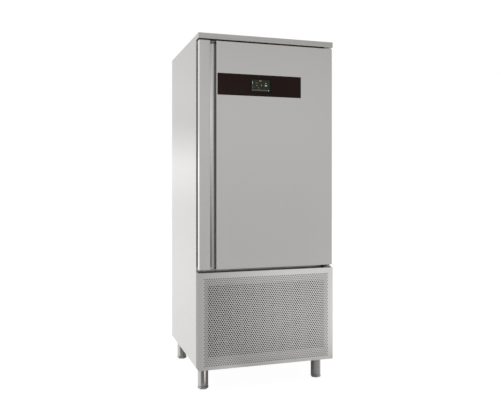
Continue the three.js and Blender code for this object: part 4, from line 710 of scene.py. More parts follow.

# %% [markdown]
# ## The door
#
# The door's face is one sheet, folded back along both sides, with a pull rail pressed in along the
# left: a flat strip, a lip that the fingers pull on, a hollow behind it, and the face itself. The same
# path, drawn with rounder bends than the CAD needs, gives it in one go. Only the window for the glass
# interrupts it, so the path is pulled upwards in three stages and the middle one leaves the window out.
# The ends are closed by folded tabs, set a hair below the edge, as the seam of a real corner is, and
# the groove has an end plate at its top and bottom.
#
# The steel is not the same all over. The return at the side is a lighter steel, a painted highlight
# that draws a bright line, the bottom of the groove mirrors the room, and its two walls, which only see
# each other, take a darker steel: painted shade.

# %% Door skin
DOOR_LOW, DOOR_HIGH = (corner.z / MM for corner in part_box("door_skin"))
DOOR_HALF = 391.0
RETURN, GROOVE_LEFT, GROOVE_RIGHT, GRIP_BACK = 32.0, -330.0, -297.0, -344.0
GROOVE_FLOOR, LIP, FOLD = 44.0, 12.0, 3.5
GLASS_X, GLASS_Z = (-290.0, 197.0), (1628.0, 1746.0)
GLASS_GAP, SEAM = 0.5, 0.25
GROOVE_BEND = 6  # the bend at the right of the groove is wider, where the palm comes past


def from_front(path):
    return [(x, y + FRONT, *rest) for x, y, *rest in path]


skin_path = from_front([
    (-DOOR_HALF, RETURN), (-DOOR_HALF, 0, FOLD), (GROOVE_LEFT, 0, FOLD), (GROOVE_LEFT, LIP, FOLD),
    (GRIP_BACK, LIP), (GRIP_BACK, GROOVE_FLOOR, 2), (GROOVE_RIGHT, GROOVE_FLOOR, 2),
    (GROOVE_RIGHT, 0, GROOVE_BEND), (GLASS_X[0] - GLASS_GAP, 0), (GLASS_X[1] + GLASS_GAP, 0),
    (DOOR_HALF, 0, FOLD), (DOOR_HALF, RETURN),
])


def folded_skin(path):
    """The folded sheet in three stages, without the window in the middle one."""
    outer, inner = path, beside(path, SHEET)
    n = len(path)
    levels = [DOOR_LOW, GLASS_Z[0] - GLASS_GAP, GLASS_Z[1] + GLASS_GAP, DOOR_HIGH]
    points = [(x, y, z) for z in levels for line in (outer, inner) for x, y in line]
    glass_edge = Vector((GLASS_X[0] - GLASS_GAP, FRONT))
    window = next(i for i in range(n) if (Vector(path[i]) - glass_edge).length < 1e-5)

    def at(level, side, i):
        return (level * 2 + side) * n + i

    def strip(level, side, i):
        return at(level, side, i), at(level, side, i + 1), at(level + 1, side, i + 1), at(level + 1, side, i)

    def top_edge(level, i):
        return at(level, 0, i), at(level, 0, i + 1), at(level, 1, i + 1), at(level, 1, i)

    def side_edge(level, i):
        return at(level, 0, i), at(level + 1, 0, i), at(level + 1, 1, i), at(level, 1, i)

    faces = {"plain": [], "return": [], "floor": [], "shaded": []}
    for i in range(n - 1):
        middle_x, middle_y = (Vector(path[i]) + Vector(path[i + 1])) / 2
        kind = "plain"
        # the return takes a painted highlight, the groove's two walls painted shade
        if middle_x < -DOOR_HALF + 1:
            kind = "return"
        elif GRIP_BACK - 1 < middle_x < GROOVE_RIGHT + 1.5 and middle_y > FRONT + 1.5:
            kind = "floor" if middle_y > FRONT + GROOVE_FLOOR - 1 else "shaded"
        for level in range(3):
            for side in (0, 1):
                if not (level == 1 and i == window):
                    faces[kind].append(strip(level, side, i))
        faces["plain"] += [top_edge(level, i) for level in (0, 3)]
    faces["plain"] += [side_edge(level, i) for i in (0, n - 1) for level in range(3)]
    faces["plain"] += [side_edge(1, i) for i in (window, window + 1)]
    faces["plain"] += [top_edge(level, window) for level in (1, 2)]
    return points, faces


skin_points, skin_faces = folded_skin(rounded(skin_path))
tabs = [
    [(-DOOR_HALF, RETURN), (-DOOR_HALF, 0, FOLD), (GROOVE_LEFT, 0, FOLD), (GROOVE_LEFT, LIP, FOLD),
     (GRIP_BACK, LIP), (GRIP_BACK, RETURN)],
    [(GROOVE_RIGHT, RETURN), (GROOVE_RIGHT, 0, GROOVE_BEND), (DOOR_HALF, 0, FOLD), (DOOR_HALF, RETURN)],
]
tab_levels = [(DOOR_LOW + SEAM, DOOR_LOW + SEAM + SHEET), (DOOR_HIGH - SEAM - SHEET, DOOR_HIGH - SEAM)]
tab_outlines = [beside(rounded(from_front(tab)), SHEET * 0.9) for tab in tabs]
# lighter steel on the return is a painted highlight, darker steel on the groove's walls painted shade
skin_finishes = {"plain": door_steel, "return": edge_steel_painted_highlight, "floor": groove_steel, "shaded": painted_shade_steel}
door_parts = [((skin_points, skin_faces[kind]), finish) for kind, finish in skin_finishes.items()]
door_parts += [(prism(tab, "z", *levels), door_steel) for tab in tab_outlines for levels in tab_levels]
piece("door_face", door_parts, "door", ["door_skin"])
CAP_X, CAP_Y = (GRIP_BACK + 0.3, GROOVE_RIGHT - 0.3), (-386.5, -356.3)
caps = [block(CAP_X, CAP_Y, levels) for levels in tab_levels]
piece("groove_end_caps", [(cap, groove_steel) for cap in caps], "door")
print("door skin path:", len(skin_path), "corners")

# %% [markdown]
# ## Profile, inner lining and seal
#
# Behind the skin a grey PVC profile runs round the door; it keeps the cold of the inner sheet from the
# outer one. The seal sits in it: a stiff foot, two thin bellows and a soft head that holds the magnet.
# The bellows are what the eye knows a fridge seal by, so the section is drawn with its folds and swept
# round the door as a frame with mitred corners. The lining has a shallow field pressed into it, which
# stiffens so large a sheet.

# %% Profile, lining and seal
dress(["door_frame_profile"], dark_pvc, 0.6)


def framed(section, half_width, low, high):
    """A section of (inset, y) points swept round a rectangle, with mitred corners."""
    n = len(section)
    points = []
    for sx, sz in ((-1, -1), (1, -1), (1, 1), (-1, 1)):
        for inset, y in section:
            z = low + inset if sz < 0 else high - inset
            points.append((sx * (half_width - inset), y, z))
    faces = []
    for corner in range(4):
        following = (corner + 1) % 4
        for i in range(n):
            j = (i + 1) % n
            faces.append((corner * n + i, corner * n + j, following * n + j, following * n + i))
    return points, faces


SEAL_BACK, SEAL_FRONT, SEAL_WIDTH = -344.7, -337.3, 20.0
SEAL_HALF, SEAL_INSET = 368, 12
# the left half of the section as (inset, height above the foot), from the foot to the soft head
half_seal = [(0, 0), (0, 1.4), (3.2, 1.8), (1.6, 3.0), (3.4, 4.2), (0.6, 5.2)]
soft_head = [(0, SEAL_FRONT - 1.2), (1.2, SEAL_FRONT), (SEAL_WIDTH - 1.2, SEAL_FRONT),
             (SEAL_WIDTH, SEAL_FRONT - 1.2)]
seal_section = [(inset, SEAL_BACK + rise) for inset, rise in half_seal] + soft_head
seal_section += [(SEAL_WIDTH - inset, SEAL_BACK + rise) for inset, rise in reversed(half_seal)]
seal = framed(seal_section, SEAL_HALF, DOOR_LOW + SEAL_INSET, DOOR_HIGH - SEAL_INSET)
piece("door_seal", [(seal, black_rubber)], "door", ["door_gasket"])

LINING_HALF = 347.7
LINING_LOW, LINING_HIGH = (corner.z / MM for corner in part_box("door_liner"))
LINING_FACE, LINING_FIELD, LINING_BORDER, LINING_SLOPE = -345.0, -345.7, 70, 6


def pressed_sheet():
    """The lining: a flat border and a shallow field pressed into it, as one sheet."""
    def loop(inset, y):
        x, low, high = LINING_HALF - inset, LINING_LOW + inset, LINING_HIGH - inset
        return [(-x, y, low), (x, y, low), (x, y, high), (-x, y, high)]

    points = loop(0, LINING_FACE) + loop(LINING_BORDER, LINING_FACE)
    points += loop(LINING_BORDER + LINING_SLOPE, LINING_FIELD)
    faces = [
        (ring + k, ring + (k + 1) % 4, ring + 4 + (k + 1) % 4, ring + 4 + k)
        for ring in (0, 4) for k in range(4)
    ]
    return points, faces + [(8, 9, 10, 11)]


piece("door_lining", [(pressed_sheet(), satin_steel)], "door", ["door_liner"], angle=60)
print("seal section:", len(seal_section), "points")

# %% [markdown]
# ## The control panel
#
# One pane of glass, a fraction of a millimetre below the face of the door, with ground edges. The
# display's surround and field lie in the plane of the glass, each a twentieth of a millimetre proud of
# the last, so that they read as printed behind it. The signs are generic: a column of menu marks, a
# bar for the title, a ring for the program, a tray, and a line with marks at the foot.

# %% Glass and its signs
GLASS_Y = FRONT + GLASS_GAP
pane = slab(GLASS_X, GLASS_Z, 0.8, GLASS_Y, GLASS_Y + 4)
piece("control_pane", [(pane, printed_glass)], "door", ["control_glass"], arris=0.4)

SCREEN_X, SCREEN_Z = -43.0, 1687.0
LAYER = 0.05


def on_screen(x, z, width, height, layer, radius=0.5):
    """A flat sign: its middle in millimetres from the middle of the screen."""
    near = GLASS_Y - layer * LAYER
    x, z = SCREEN_X + x, SCREEN_Z + z
    spans = (x - width / 2, x + width / 2), (z - height / 2, z + height / 2)
    return slab(*spans, min(radius, width / 2.01, height / 2.01), near, GLASS_Y + 0.5, 3)


def ring_sign(x, z, outer, inner, layer):
    loop = turned([(inner, 0), (outer, 0), (outer, 0.6), (inner, 0.6)], 24, closed=True)
    return placed(loop, (SCREEN_X + x, GLASS_Y - layer * LAYER, SCREEN_Z + z), "y")


piece("display_surround", [(on_screen(0, 0, 134.5, 88, 1, 6), display_mask)], "door")
piece("display_field", [(on_screen(0, 0, 106, 64, 2, 1), display_dark)], "door")
# middle, width, height and corner radius of each sign
white_signs = [
    (-47, 15, 2.4, 12, 0.6), (-1, 26.5, 14, 1.8, 0.6), (30, 14, 7, 2.4, 0.6), (31, 1.5, 10, 6, 1.5),
    (26, 0, 4, 2.5, 0.6), (46.5, -26, 4.5, 4.5, 1), (5, 1.5, 3, 4, 0.8),
]
grey_signs = [
    (-22, 0, 11, 4, 1), (-46.5, 1, 4, 4, 1), (-46.5, -10, 4, 4, 1), (-46.5, -25, 5.5, 6, 1),
    (-47, 25, 2.4, 2.4, 0.5), (-38, -10, 6, 2, 0.5), (-12, -10, 5, 4, 0.5), (-9, -20, 8, 3, 0.5),
    (-27, -25.5, 30, 2.6, 0.6), (17, -25.5, 42, 2.6, 0.6), (4, 9, 8, 2, 0.5), (-12, -24, 7, 7, 1),
    (40, 2, 3, 3, 0.5),
]
for tint, signs, finish in (("white", white_signs, display_white), ("grey", grey_signs, display_grey)):
    shapes = [on_screen(x, z, width, height, 3, radius) for x, z, width, height, radius in signs]
    piece(f"display_signs_{tint}", [(shape, finish) for shape in shapes], "door")
amber = [on_screen(-25, 14, 9, 6, 3, 2), ring_sign(-16, 15, 3.2, 2.0, 3)]
piece("display_signs_amber", [(sign, display_amber) for sign in amber], "door")
print("signs:", len(white_signs) + len(grey_signs) + len(amber))

# %% [markdown]
# ## Legs and feet
#
# Each leg is a steel tube with a welded flange; in it turns a threaded stem with a hexagonal foot that
# takes a spanner. They are lathe work, so the profile carries the small chamfers that a turning tool
# leaves. The hexagon has its six corners broken as well. Every foot has stopped at its own angle.

# %% Legs and feet
LEG_PROFILE = [
    (14.3, 17.4), (28.2, 17.4), (29.0, 18.4), (29.0, 132.0), (29.6, 133.2), (34.4, 133.2), (35.0, 133.8),
    (35.0, 136.2), (14.3, 136.2),
]
FOOT_HEX = [(0, 0), (24, 0), (27, 0.8), (30, 3.2), (30, 14), (27.4, 16.6), (26, 17), (0, 17)]
STEM = [(14, 16.5), (14, 86), (13, 87), (0, 87), (0, 16.5)]
CORNER_FACET = 3.5  # half the angle that the facet at a corner takes up, in degrees
LEGS = {
    "front_left": (-342, -277, 0.35), "front_right": (342, -277, 0.9),
    "rear_left": (-342, 334, 0.15), "rear_right": (342, 334, 0.65),
}


def hexagon(profile):
    """The foot: six flats, with each corner broken by a narrow facet."""
    n = len(profile)
    angles = [math.radians(60 * k + d) for k in range(6) for d in (-CORNER_FACET, CORNER_FACET)]
    points = [(r * math.cos(a), r * math.sin(a), h) for a in angles for r, h in profile]
    faces = []
    for k in range(12):
        for i in range(n - 1):
            j = (k + 1) % 12
            faces.append((k * n + i, k * n + i + 1, j * n + i + 1, j * n + i))
    return points, faces


for where, (x, y, stop) in LEGS.items():
    piece(f"leg_tube_{where}", [(placed(turned(LEG_PROFILE, 72, closed=True), (x, y, 0)), turned_steel)],
          "cabinet", [f"leg_{where}"], angle=28)
    foot = placed(hexagon(FOOT_HEX), (x, y, 0), spin=stop - math.pi / 2)
    piece(f"hex_foot_{where}", [(foot, turned_steel), (placed(turned(STEM, 48), (x, y, 0)), turned_steel)],
          f"foot_{where}", [f"foot_{where}"], angle=20)
print("legs:", ", ".join(LEGS))

# %% [markdown]
# ## Hinges
#
# The door turns on two pins. The lower one stands on a steel plate under the door; a plastic cam on the
# door rides over it and lifts the door a little, so that it falls shut. Plates are bent and drilled
# sheet, the pins are turned with a chamfered end, and the lower plate has its screws.

# %% Hinges
PIVOT = (372.0, -378.0)
PLATE_X, PLATE_Y = (345.0, 391.0), (-389.0, -337.3)
BOLT_RADIUS, BOLT_HEIGHT = 4.5, 2.4
NOSE_LOW = 1928.0


def bolt(x, y, z, axis):
    """A pan head with a shallow round socket."""
    r, h = BOLT_RADIUS, BOLT_HEIGHT
    head = [(0, h * 0.45), (r * 0.42, h * 0.45), (r * 0.46, h), (r * 0.8, h), (r, h * 0.55), (r, 0), (0, 0)]
    return placed(turned(head, 24), (x, y, z), axis)


plate = rounded([(PLATE_X[0], PLATE_Y[0], 6), (PLATE_X[1], PLATE_Y[0], 6), (PLATE_X[1], PLATE_Y[1]),
                 (PLATE_X[0], PLATE_Y[1])], closed=True)
upstand = rounded([(PLATE_X[0], 667), (PLATE_X[1], 667), (PLATE_X[1], 685.4, 5), (PLATE_X[0], 685.4, 5)],
                  closed=True)
low_pin = [(0, 666), (8, 666), (8, 671.2), (7.6, 671.4), (6, 671.4), (6, 700.6), (4.8, 702), (0, 702)]
# the plate under the door and its screws take the darker steel: painted shade in the gap under the door
lower_plate = [
    (prism(plate, "z", 663.4, 667.4), painted_shade_steel),
    (prism(upstand, "y", -340.3, PLATE_Y[1]), painted_shade_steel),
    (placed(turned(low_pin, 40), (*PIVOT, 0)), turned_steel),
    (bolt(354, -340.3, 677, "-y"), painted_shade_steel),
    (bolt(382, -340.3, 677, "-y"), painted_shade_steel),
]
piece("lower_hinge_plate", lower_plate, "cabinet", ["hinge_bracket_lower"], arris=0.3)

high_pin = [(0, DOOR_HIGH - 24), (4.8, DOOR_HIGH - 24), (6, DOOR_HIGH - 22.6), (6, DOOR_HIGH + 3.7),
            (8, DOOR_HIGH + 3.7), (8, NOSE_LOW - 3), (0, NOSE_LOW - 3)]
upper_plate = [
    (prism(plate, "z", NOSE_LOW - 4.3, NOSE_LOW - 0.3), turned_steel),
    (placed(turned(high_pin, 40), (*PIVOT, 0)), turned_steel),
]
piece("upper_hinge_plate", upper_plate, "cabinet", ["hinge_bracket_upper"], arris=0.3)

cam_outline = rounded([(343, -387, 4), (372, -387), (372, -369), (343, -369, 4)], closed=True)
cam_ring = [(6.3, 671.7), (11.4, 671.7), (12, 672.3), (12, 677.2), (11.4, 677.7), (8, 677.7), (8, 703),
            (6.3, 703)]
cam = [prism(cam_outline, "z", 671.9, 677.5), placed(turned(cam_ring, 48, closed=True), (*PIVOT, 0))]
piece("hinge_cam", [(part, dark_pvc) for part in cam], "door", ["door_bush_lower"], arris=0.3)
bush_ring = [(6.3, 3.3), (11.5, 3.3), (12, 2.8), (12, 0.3), (8, 0.3), (8, -25), (6.3, -25)]
bush = placed(turned(bush_ring, 48, closed=True), (*PIVOT, DOOR_HIGH))
piece("upper_hinge_bush", [(bush, dark_pvc)], "door", ["door_bush_upper"])
print("hinge axis:", PIVOT, "mm")

# %% [markdown]
# ## Sheets with round openings
#
# The cover in front of the evaporator and the fan plate of the condenser are flat sheets with large
# round mouths. A boolean would cut them, but it leaves long thin triangles. Here the sheet is laid out
# as a grid whose lines pass round each mouth; the square round a mouth is filled with quads between its
# border and the circle, and the other fields take the border's points along, so that all edges meet.

# %% Plates with mouths
MOUTH_SIDES = 64


def plate_with_mouths(x_span, z_span, mouths, radius, y, margin=12.0):
    """An upright sheet with round mouths, given as (x, z), all in one column."""
    points, faces, index, on_edge = [], [], {}, []

    def at(x, z):
        key = (round(x, 4), round(z, 4))
        if key not in index:
            index[key] = len(points)
            points.append((x, y, z))
        return index[key]

    half = radius + margin
    for x, z in mouths:
        angles = [2 * math.pi * (k + 0.5) / MOUTH_SIDES for k in range(MOUTH_SIDES)]
        angles += [math.radians(45 + 90 * k) for k in range(4)]
        angles.sort()
        rim, border = [], []
        for angle in angles:
            c, s = math.cos(angle), math.sin(angle)
            reach = half / max(abs(c), abs(s))
            rim.append(at(x + radius * c, z + radius * s))
            border.append(at(x + reach * c, z + reach * s))
        n = len(angles)
        faces += [(rim[k], border[k], border[(k + 1) % n], rim[(k + 1) % n]) for k in range(n)]
        on_edge += [points[i] for i in border]
    xs = [x_span[0], mouths[0][0] - half, mouths[0][0] + half, x_span[1]]
    zs = [z_span[0]] + [z + side * half for _, z in mouths for side in (-1, 1)] + [z_span[1]]
    for column in range(3):
        for row in range(len(zs) - 1):
            if column == 1 and row % 2 == 1:
                continue
            x0, x1, z0, z1 = xs[column], xs[column + 1], zs[row], zs[row + 1]
            loop = [(x0, z0), (x1, z0), (x1, z1), (x0, z1)]
            polygon = []
            for k in range(4):
                (ax, az), (bx, bz) = loop[k], loop[(k + 1) % 4]
                between = [
                    (px, pz) for px, _, pz in on_edge
                    if (abs(ax - bx) < 1e-6 and abs(px - ax) < 1e-3 and min(az, bz) < pz < max(az, bz))
                    or (abs(az - bz) < 1e-6 and abs(pz - az) < 1e-3 and min(ax, bx) < px < max(ax, bx))
                ]
                between.sort(key=lambda p: abs(p[0] - ax) + abs(p[1] - az))
                polygon += [at(ax, az)] + [at(*p) for p in between]
            faces.append(tuple(dict.fromkeys(polygon)))
    return points, faces


print("helper for sheets with mouths is ready")


# %% [markdown]
# ## Racks
#
# A rack is a welded ladder: two square tubes joined at top and bottom, with fifteen rods bent into flat
# U shapes that carry the trays, and short pegs that hold it off the wall. Tubes have soft edges, rods
# are curves with a round bevel, which keeps their bends smooth.

# %% Tray racks
RUNNERS, RUNNER_STEP, LOWEST_RUNNER = 15, 70, 771
POST_X, POST_Y = (307, 323), ((-315, -299), (65, 81))
PEG_LENGTH, PEG_END = 12.6, 322.1
RUNNER_INNER, RUNNER_OUTER, ROD = 286, 311, 4

post_middles = [sum(depth) / 2 for depth in POST_Y]
peg = turned([(0, 0), (5.2, 0), (6, 0.8), (6, PEG_LENGTH), (0, PEG_LENGTH)], 20)
for side, sign in (("left", -1), ("right", 1)):
    low, high = (corner.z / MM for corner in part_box(f"tray_rack_{side}"))
    across = sorted(sign * x for x in POST_X)
    between_posts = (POST_Y[0][1], POST_Y[1][0])
    ladder = [block(across, depth, (low, high)) for depth in POST_Y]
    ladder += [block(across, between_posts, (high - 16, high)), block(across, between_posts, (low, low + 16))]
    peg_x = sign * PEG_END - (PEG_LENGTH if sign < 0 else 0)
    ladder += [placed(peg, (peg_x, y, high - 32), "x") for y in post_middles]
    piece(f"rack_ladder_{side}", [(part, turned_steel) for part in ladder], "cabinet", [f"tray_rack_{side}"],
          arris=1.2)
    near, far = post_middles
    rod_path = [(RUNNER_OUTER, near), (RUNNER_INNER, near), (RUNNER_INNER, far), (RUNNER_OUTER, far)]
    heights = [LOWEST_RUNNER + RUNNER_STEP * k for k in range(RUNNERS)]
    runners = [bent_route([(sign * x, y, z) for x, y in rod_path], 12) for z in heights]
    rods(f"rack_runners_{side}", runners, ROD, turned_steel)
print("runners per side:", len(runners))

# %% [markdown]
# ## The cover in front of the evaporator
#
# Air is drawn through the coil by two fans behind round mouths in one large sheet. The sides of the
# sheet are folded back, and each mouth has a rolled lip, which stiffens the sheet and guides the air.
# The mouths lie where the CAD has its fan motors, so their heights are read from there.

# %% Evaporator cover
COVER_X, COVER_Y, COVER_SHEET, COVER_FOLD = 290.0, 112.0, 1.0, 24
MOUTH = 150.0


def middle_of(node_name):
    """The middle of a CAD part, in millimetres."""
    return [(low + high) / 2 / MM for low, high in zip(*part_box(node_name))]


cover_z = [corner.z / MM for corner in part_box("evaporator_cover")]
fan_levels = {name: middle_of(f"fan_motor_{name}")[2] for name in ("lower", "upper")}
mouths = [(0, z) for z in fan_levels.values()]
cover_face = plate_with_mouths((-COVER_X, COVER_X), cover_z, mouths, MOUTH + 3, COVER_Y)
cover = piece("evaporator_cover_face", [(cover_face, satin_steel)], "cabinet", ["evaporator_cover"])
thicken(cover, COVER_SHEET)
cover_parts = [
    prism([(sx * COVER_X, COVER_Y + 0.9), (sx * COVER_X, COVER_Y + COVER_FOLD),
           (sx * (COVER_X - 1), COVER_Y + COVER_FOLD), (sx * (COVER_X - 1), COVER_Y + 0.9)], "z", *cover_z)
    for sx in (-1, 1)
]
roof_x, roof_y = (-COVER_X + 1.1, COVER_X - 1.1), (COVER_Y + 1, 339.7)
cover_parts.append(block(roof_x, roof_y, (cover_z[1] - 2, cover_z[1] - 1)))
lip = turned(sheet(rounded([(MOUTH + 3.2, 0.2), (MOUTH, 0.4, 3), (MOUTH, 9)], 4), 0.9), 96, closed=True)
cover_parts += [placed(lip, (0, COVER_Y, z), "y") for z in fan_levels.values()]
piece("evaporator_cover_folds", [(part, satin_steel) for part in cover_parts])
print("fan heights:", {name: round(z) for name, z in fan_levels.items()})

# %% [markdown]
# ## Guards and motors
#
# Each guard is a basket of thin wire rings on eight arms, with a plate in the middle that carries the
# motor. Rings and arms are curves, so one guard is a few dozen points. The motor is a turned can with
# ribs for cooling; the condenser's fan gets the same one.

# %% Guards and motors
WIRE, ARMS, RINGS, RING_POINTS = 1.5, 8, 8, 72
INNER_RING, RING_STEP, OUTER_RING = 46, 14, 158
RINGS_Y, ARMS_Y, SHEET_Y, MOTOR_Y = 103.2, 105.6, 110, 104.3


def circle(radius, y, z):
    """A ring of wire, as a route that ends where it starts."""
    angles = [2 * math.pi * k / RING_POINTS for k in range(RING_POINTS)] + [0]
    return [(radius * math.cos(a), y, z + radius * math.sin(a)) for a in angles]


hub_plate = turned([(0, 0), (30.5, 0), (32, 1.2), (32, 4.1), (0, 4.1)], 48)
motor_profile = [(0, 0), (31, 0), (34.5, 1.5), (36, 4.5)]
for start in (8, 14, 20, 26, 32):
    motor_profile += [(36, start), (33.5, start + 0.6), (33.5, start + 2.4), (36, start + 3)]
motor_profile += [(36, 38), (33, 41), (22, 43), (21.6, 46), (5, 46), (5, 72), (0, 72)]
motor = turned(motor_profile, 56)

for name, z in fan_levels.items():
    wires = [circle(INNER_RING + RING_STEP * k, RINGS_Y, z) for k in range(RINGS)]
    wires.append(circle(OUTER_RING, SHEET_Y, z))
    for k in range(ARMS):
        c, s = math.cos(2 * math.pi * (k + 0.5) / ARMS), math.sin(2 * math.pi * (k + 0.5) / ARMS)
        arm = [(r * c, y, z + r * s) for r, y in ((28, ARMS_Y), (150, ARMS_Y), (159, SHEET_Y))]
        wires.append(bent_route(arm, 6, 4))
    rods(f"fan_guard_wires_{name}", wires, WIRE, turned_steel, cad=[f"fan_guard_{name}"])
    piece(f"guard_plate_{name}", [(placed(hub_plate, (0, 100, z), "y"), turned_steel)])
    piece(f"fan_drive_{name}", [(placed(motor, (0, MOTOR_Y, z), "y"), black_enamel)], "cabinet",
          [f"fan_motor_{name}"])
print("wires per guard:", len(wires))

# %% [markdown]
# ## Fan wheels
#
# A fan blade is cambered and twisted, steeper at the hub than at the tip, and it sweeps forward. So
# each blade is a grid of points in polar coordinates, from hub to tip and from edge to edge, with a
# front and a back face that come close together at the edges. Each wheel rides on its own body, so
# that it turns, and stays between its two ends in height.

# %% Fan wheels
FAN_DEPTH, HUB, ROOT = 34.0, 40.0, 36.0
BLADES, RADIAL, CHORDWISE = 5, 12, 14
ROOT_CHORD, TIP_CHORD, FORWARD = 50, 44, 16  # degrees round the wheel
ROUNDING, ROUNDED_SHARE = 0.16, 0.15  # how much narrower the tip is, and over which share of the blade
CAMBER, ROOT_RISE, TIP_RISE = 3.2, 24, 16
EDGE, BELLY = 0.45, 1.1  # half the thickness at the edges, and what the middle adds to it
WHEEL_Y, WHEEL_TIP = 153.3, 139.5


def blade_point(tip, blade, face, t, u):
    """A point of a blade: t runs from root to tip, u from -0.5 to 0.5 along the chord."""
    r = ROOT + (tip - ROOT) * t
    narrower = ROUNDING * max(0, t - (1 - ROUNDED_SHARE)) / ROUNDED_SHARE
    width = math.radians(ROOT_CHORD + (TIP_CHORD - ROOT_CHORD) * t) * (1 - narrower)
    sweep = math.radians(FORWARD) * t ** 1.6
    angle = 2 * math.pi * blade / BLADES + u * width + sweep
    camber = CAMBER * (0.25 - u * u) * 4
    thickness = (EDGE + BELLY * (1 - abs(2 * u) ** 2.2)) * (1.25 - 0.5 * t)
    rise = ROOT_RISE + (TIP_RISE - ROOT_RISE) * t
    height = FAN_DEPTH / 2 - u * rise + camber - CAMBER / 2 + face * thickness
    return r * math.cos(angle), r * math.sin(angle), min(FAN_DEPTH - 0.5, max(0.5, height))


def fan_shapes(tip):
    """Hub and blades, turning about Z, from height 0 to FAN_DEPTH."""
    hub = [(5.3, 0), (37, 0), (39.2, 0.8), (HUB, 3), (HUB, 24), (38.5, 28.5), (34, 32), (27, FAN_DEPTH),
           (0, FAN_DEPTH), (0, 28), (5.3, 28)]
    shapes = [turned(hub, 56, closed=True)]
    row = CHORDWISE + 1

    def at(face, i, j):
        return (face * (RADIAL + 1) + i) * row + j

    faces = [
        (at(face, i, j), at(face, i, j + 1), at(face, i + 1, j + 1), at(face, i + 1, j))
        for i in range(RADIAL) for j in range(CHORDWISE) for face in (0, 1)
    ]
    faces += [(at(0, i, j), at(0, i + 1, j), at(1, i + 1, j), at(1, i, j))
              for i in range(RADIAL) for j in (0, CHORDWISE)]
    faces += [(at(0, i, j), at(0, i, j + 1), at(1, i, j + 1), at(1, i, j))
              for j in range(CHORDWISE) for i in (0, RADIAL)]
    for blade in range(BLADES):
        points = [
            blade_point(tip, blade, face, i / RADIAL, j / CHORDWISE - 0.5)
            for face in (-1, 1) for i in range(RADIAL + 1) for j in range(row)
        ]
        shapes.append((points, faces))
    return shapes


for name, z in fan_levels.items():
    wheel = [(placed(shape, (0, WHEEL_Y, z), "y"), fan_plastic) for shape in fan_shapes(WHEEL_TIP)]
    piece(f"fan_wheel_{name}", wheel, f"evaporator_fan_{name}", [f"evaporator_fan_{name}"],
          angle=50)
print("blades per wheel:", BLADES)

# %% [markdown]
# ## Finned coils
#
# Both heat exchangers are packs of thin aluminium fins, pressed onto rows of copper tube that run
# across and come back through U bends at the ends. Real fins are 2 to 3 mm apart; at 4 and 5 mm they
# still read as a fine comb and keep the mesh light. The condenser is sprayed black all over.

# %% Coils
TUBE, BEND_ROOM = 5.0, 11.0
CONDENSER_LOW, CONDENSER_HIGH = (-230, -317.5, 140.8), (170, -257.5, 520.8)


def finned_coil(name, low, high, pitch, rows, columns, finishes):
    """Fins, two end plates and the tubes with their bends, inside the box from low to high."""
    (x0, y0, z0), (x1, y1, z1) = low, high
    count = int((x1 - x0 - 2 * BEND_ROOM) / pitch)
    start = (x0 + x1 - count * pitch) / 2
    end = start + count * pitch
    middles = [start + pitch * k for k in range(1, count)]
    fin_finish, plate_finish, tube_finish = finishes
    fins = [(block((x - 0.2, x + 0.2), (y0, y1), (z0, z1)), fin_finish) for x in middles]
    plates = [(block((x - 0.8, x + 0.8), (y0, y1), (z0, z1)), plate_finish) for x in (start, end)]
    piece(f"{name}_fins", fins, "cabinet", [name])
    piece(f"{name}_end_plates", plates, arris=0.3)
    step = (z1 - z0) / rows
    bend = min(BEND_ROOM - 1.4 * TUBE, step / 2.2)
    routes = []
    for column in range(columns):
        y = y0 + (y1 - y0) * (column + 0.5) / columns
        for row in range(0, rows - 1, 2):
            lower, upper = z0 + step * (row + 0.5), z0 + step * (row + 1.5)
            for edge, sx in ((start, -1), (end, 1)):
                inner, outer = edge - sx * 3, edge + sx * (BEND_ROOM - TUBE - 0.2)
                corners = [(inner, y, lower), (outer, y, lower), (outer, y, upper), (inner, y, upper)]
                routes.append(bent_route(corners, bend, 5))
    rods(f"{name}_tube_bends", routes, TUBE, tube_finish, sides=2)
    print(name, "fins:", len(fins), "bends:", len(routes))


coil_low, coil_high = ([c / MM for c in corner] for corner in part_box("evaporator_coil"))
finned_coil("evaporator_coil", coil_low, coil_high, 5.0, 30, 3, (fin_aluminium, galvanised, copper))
finned_coil("condenser_coil", CONDENSER_LOW, CONDENSER_HIGH, 4.0, 14, 2, (black_enamel,) * 3)
condenser_feet = [block((x, x + 30), (-287.5, -257.5), (138.8, 141.2)) for x in (-230, 140)]
piece("condenser_feet", [(foot, galvanised) for foot in condenser_feet], arris=0.3)

# %% [markdown]
# ## The drain
#
# Frost that melts off the evaporator runs into a steel pan, and from there through a grey pipe down to
# the tray in the machine compartment. The pan is the CAD's own. The pipe is turned as one profile, with
# the flange that hangs it in the pan's outlet.

# %% Drain
dress(["drain_pan"], satin_steel, 0.4)
drain = [(8, 196), (10, 196), (10, 717), (14, 717.8), (15, 718.6), (15, 719.6), (8, 719.6)]
piece("drain_tube", [(placed(turned(drain, 40, closed=True), (-180, 282, 0)), grey_abs)], "cabinet",
      ["drain_pipe"])

# %% [markdown]
# ## The condenser's fan
#
# Behind the perforated sheet stands the condenser with a fan plate at its back: a sheet with a mouth, a
# collar round the wheel, and three arms that hold the motor in the middle. Plate, motor and wheel are
# made with the helpers of the evaporator's fans, only laid the other way round.

# %% Condenser fan
SHROUD_X, SHROUD_Z = ((CONDENSER_LOW[axis], CONDENSER_HIGH[axis]) for axis in (0, 2))
FAN_CENTRE = (sum(SHROUD_X) / 2, sum(SHROUD_Z) / 2)
SHROUD_Y, COLLAR = -257.2, 158
SEAT_Y = SHROUD_Y + 44.3
CONDENSER_WHEEL_TIP = 149.5


def at_fan(y):
    """A place on the axis of the condenser's fan."""
    return FAN_CENTRE[0], y, FAN_CENTRE[1]


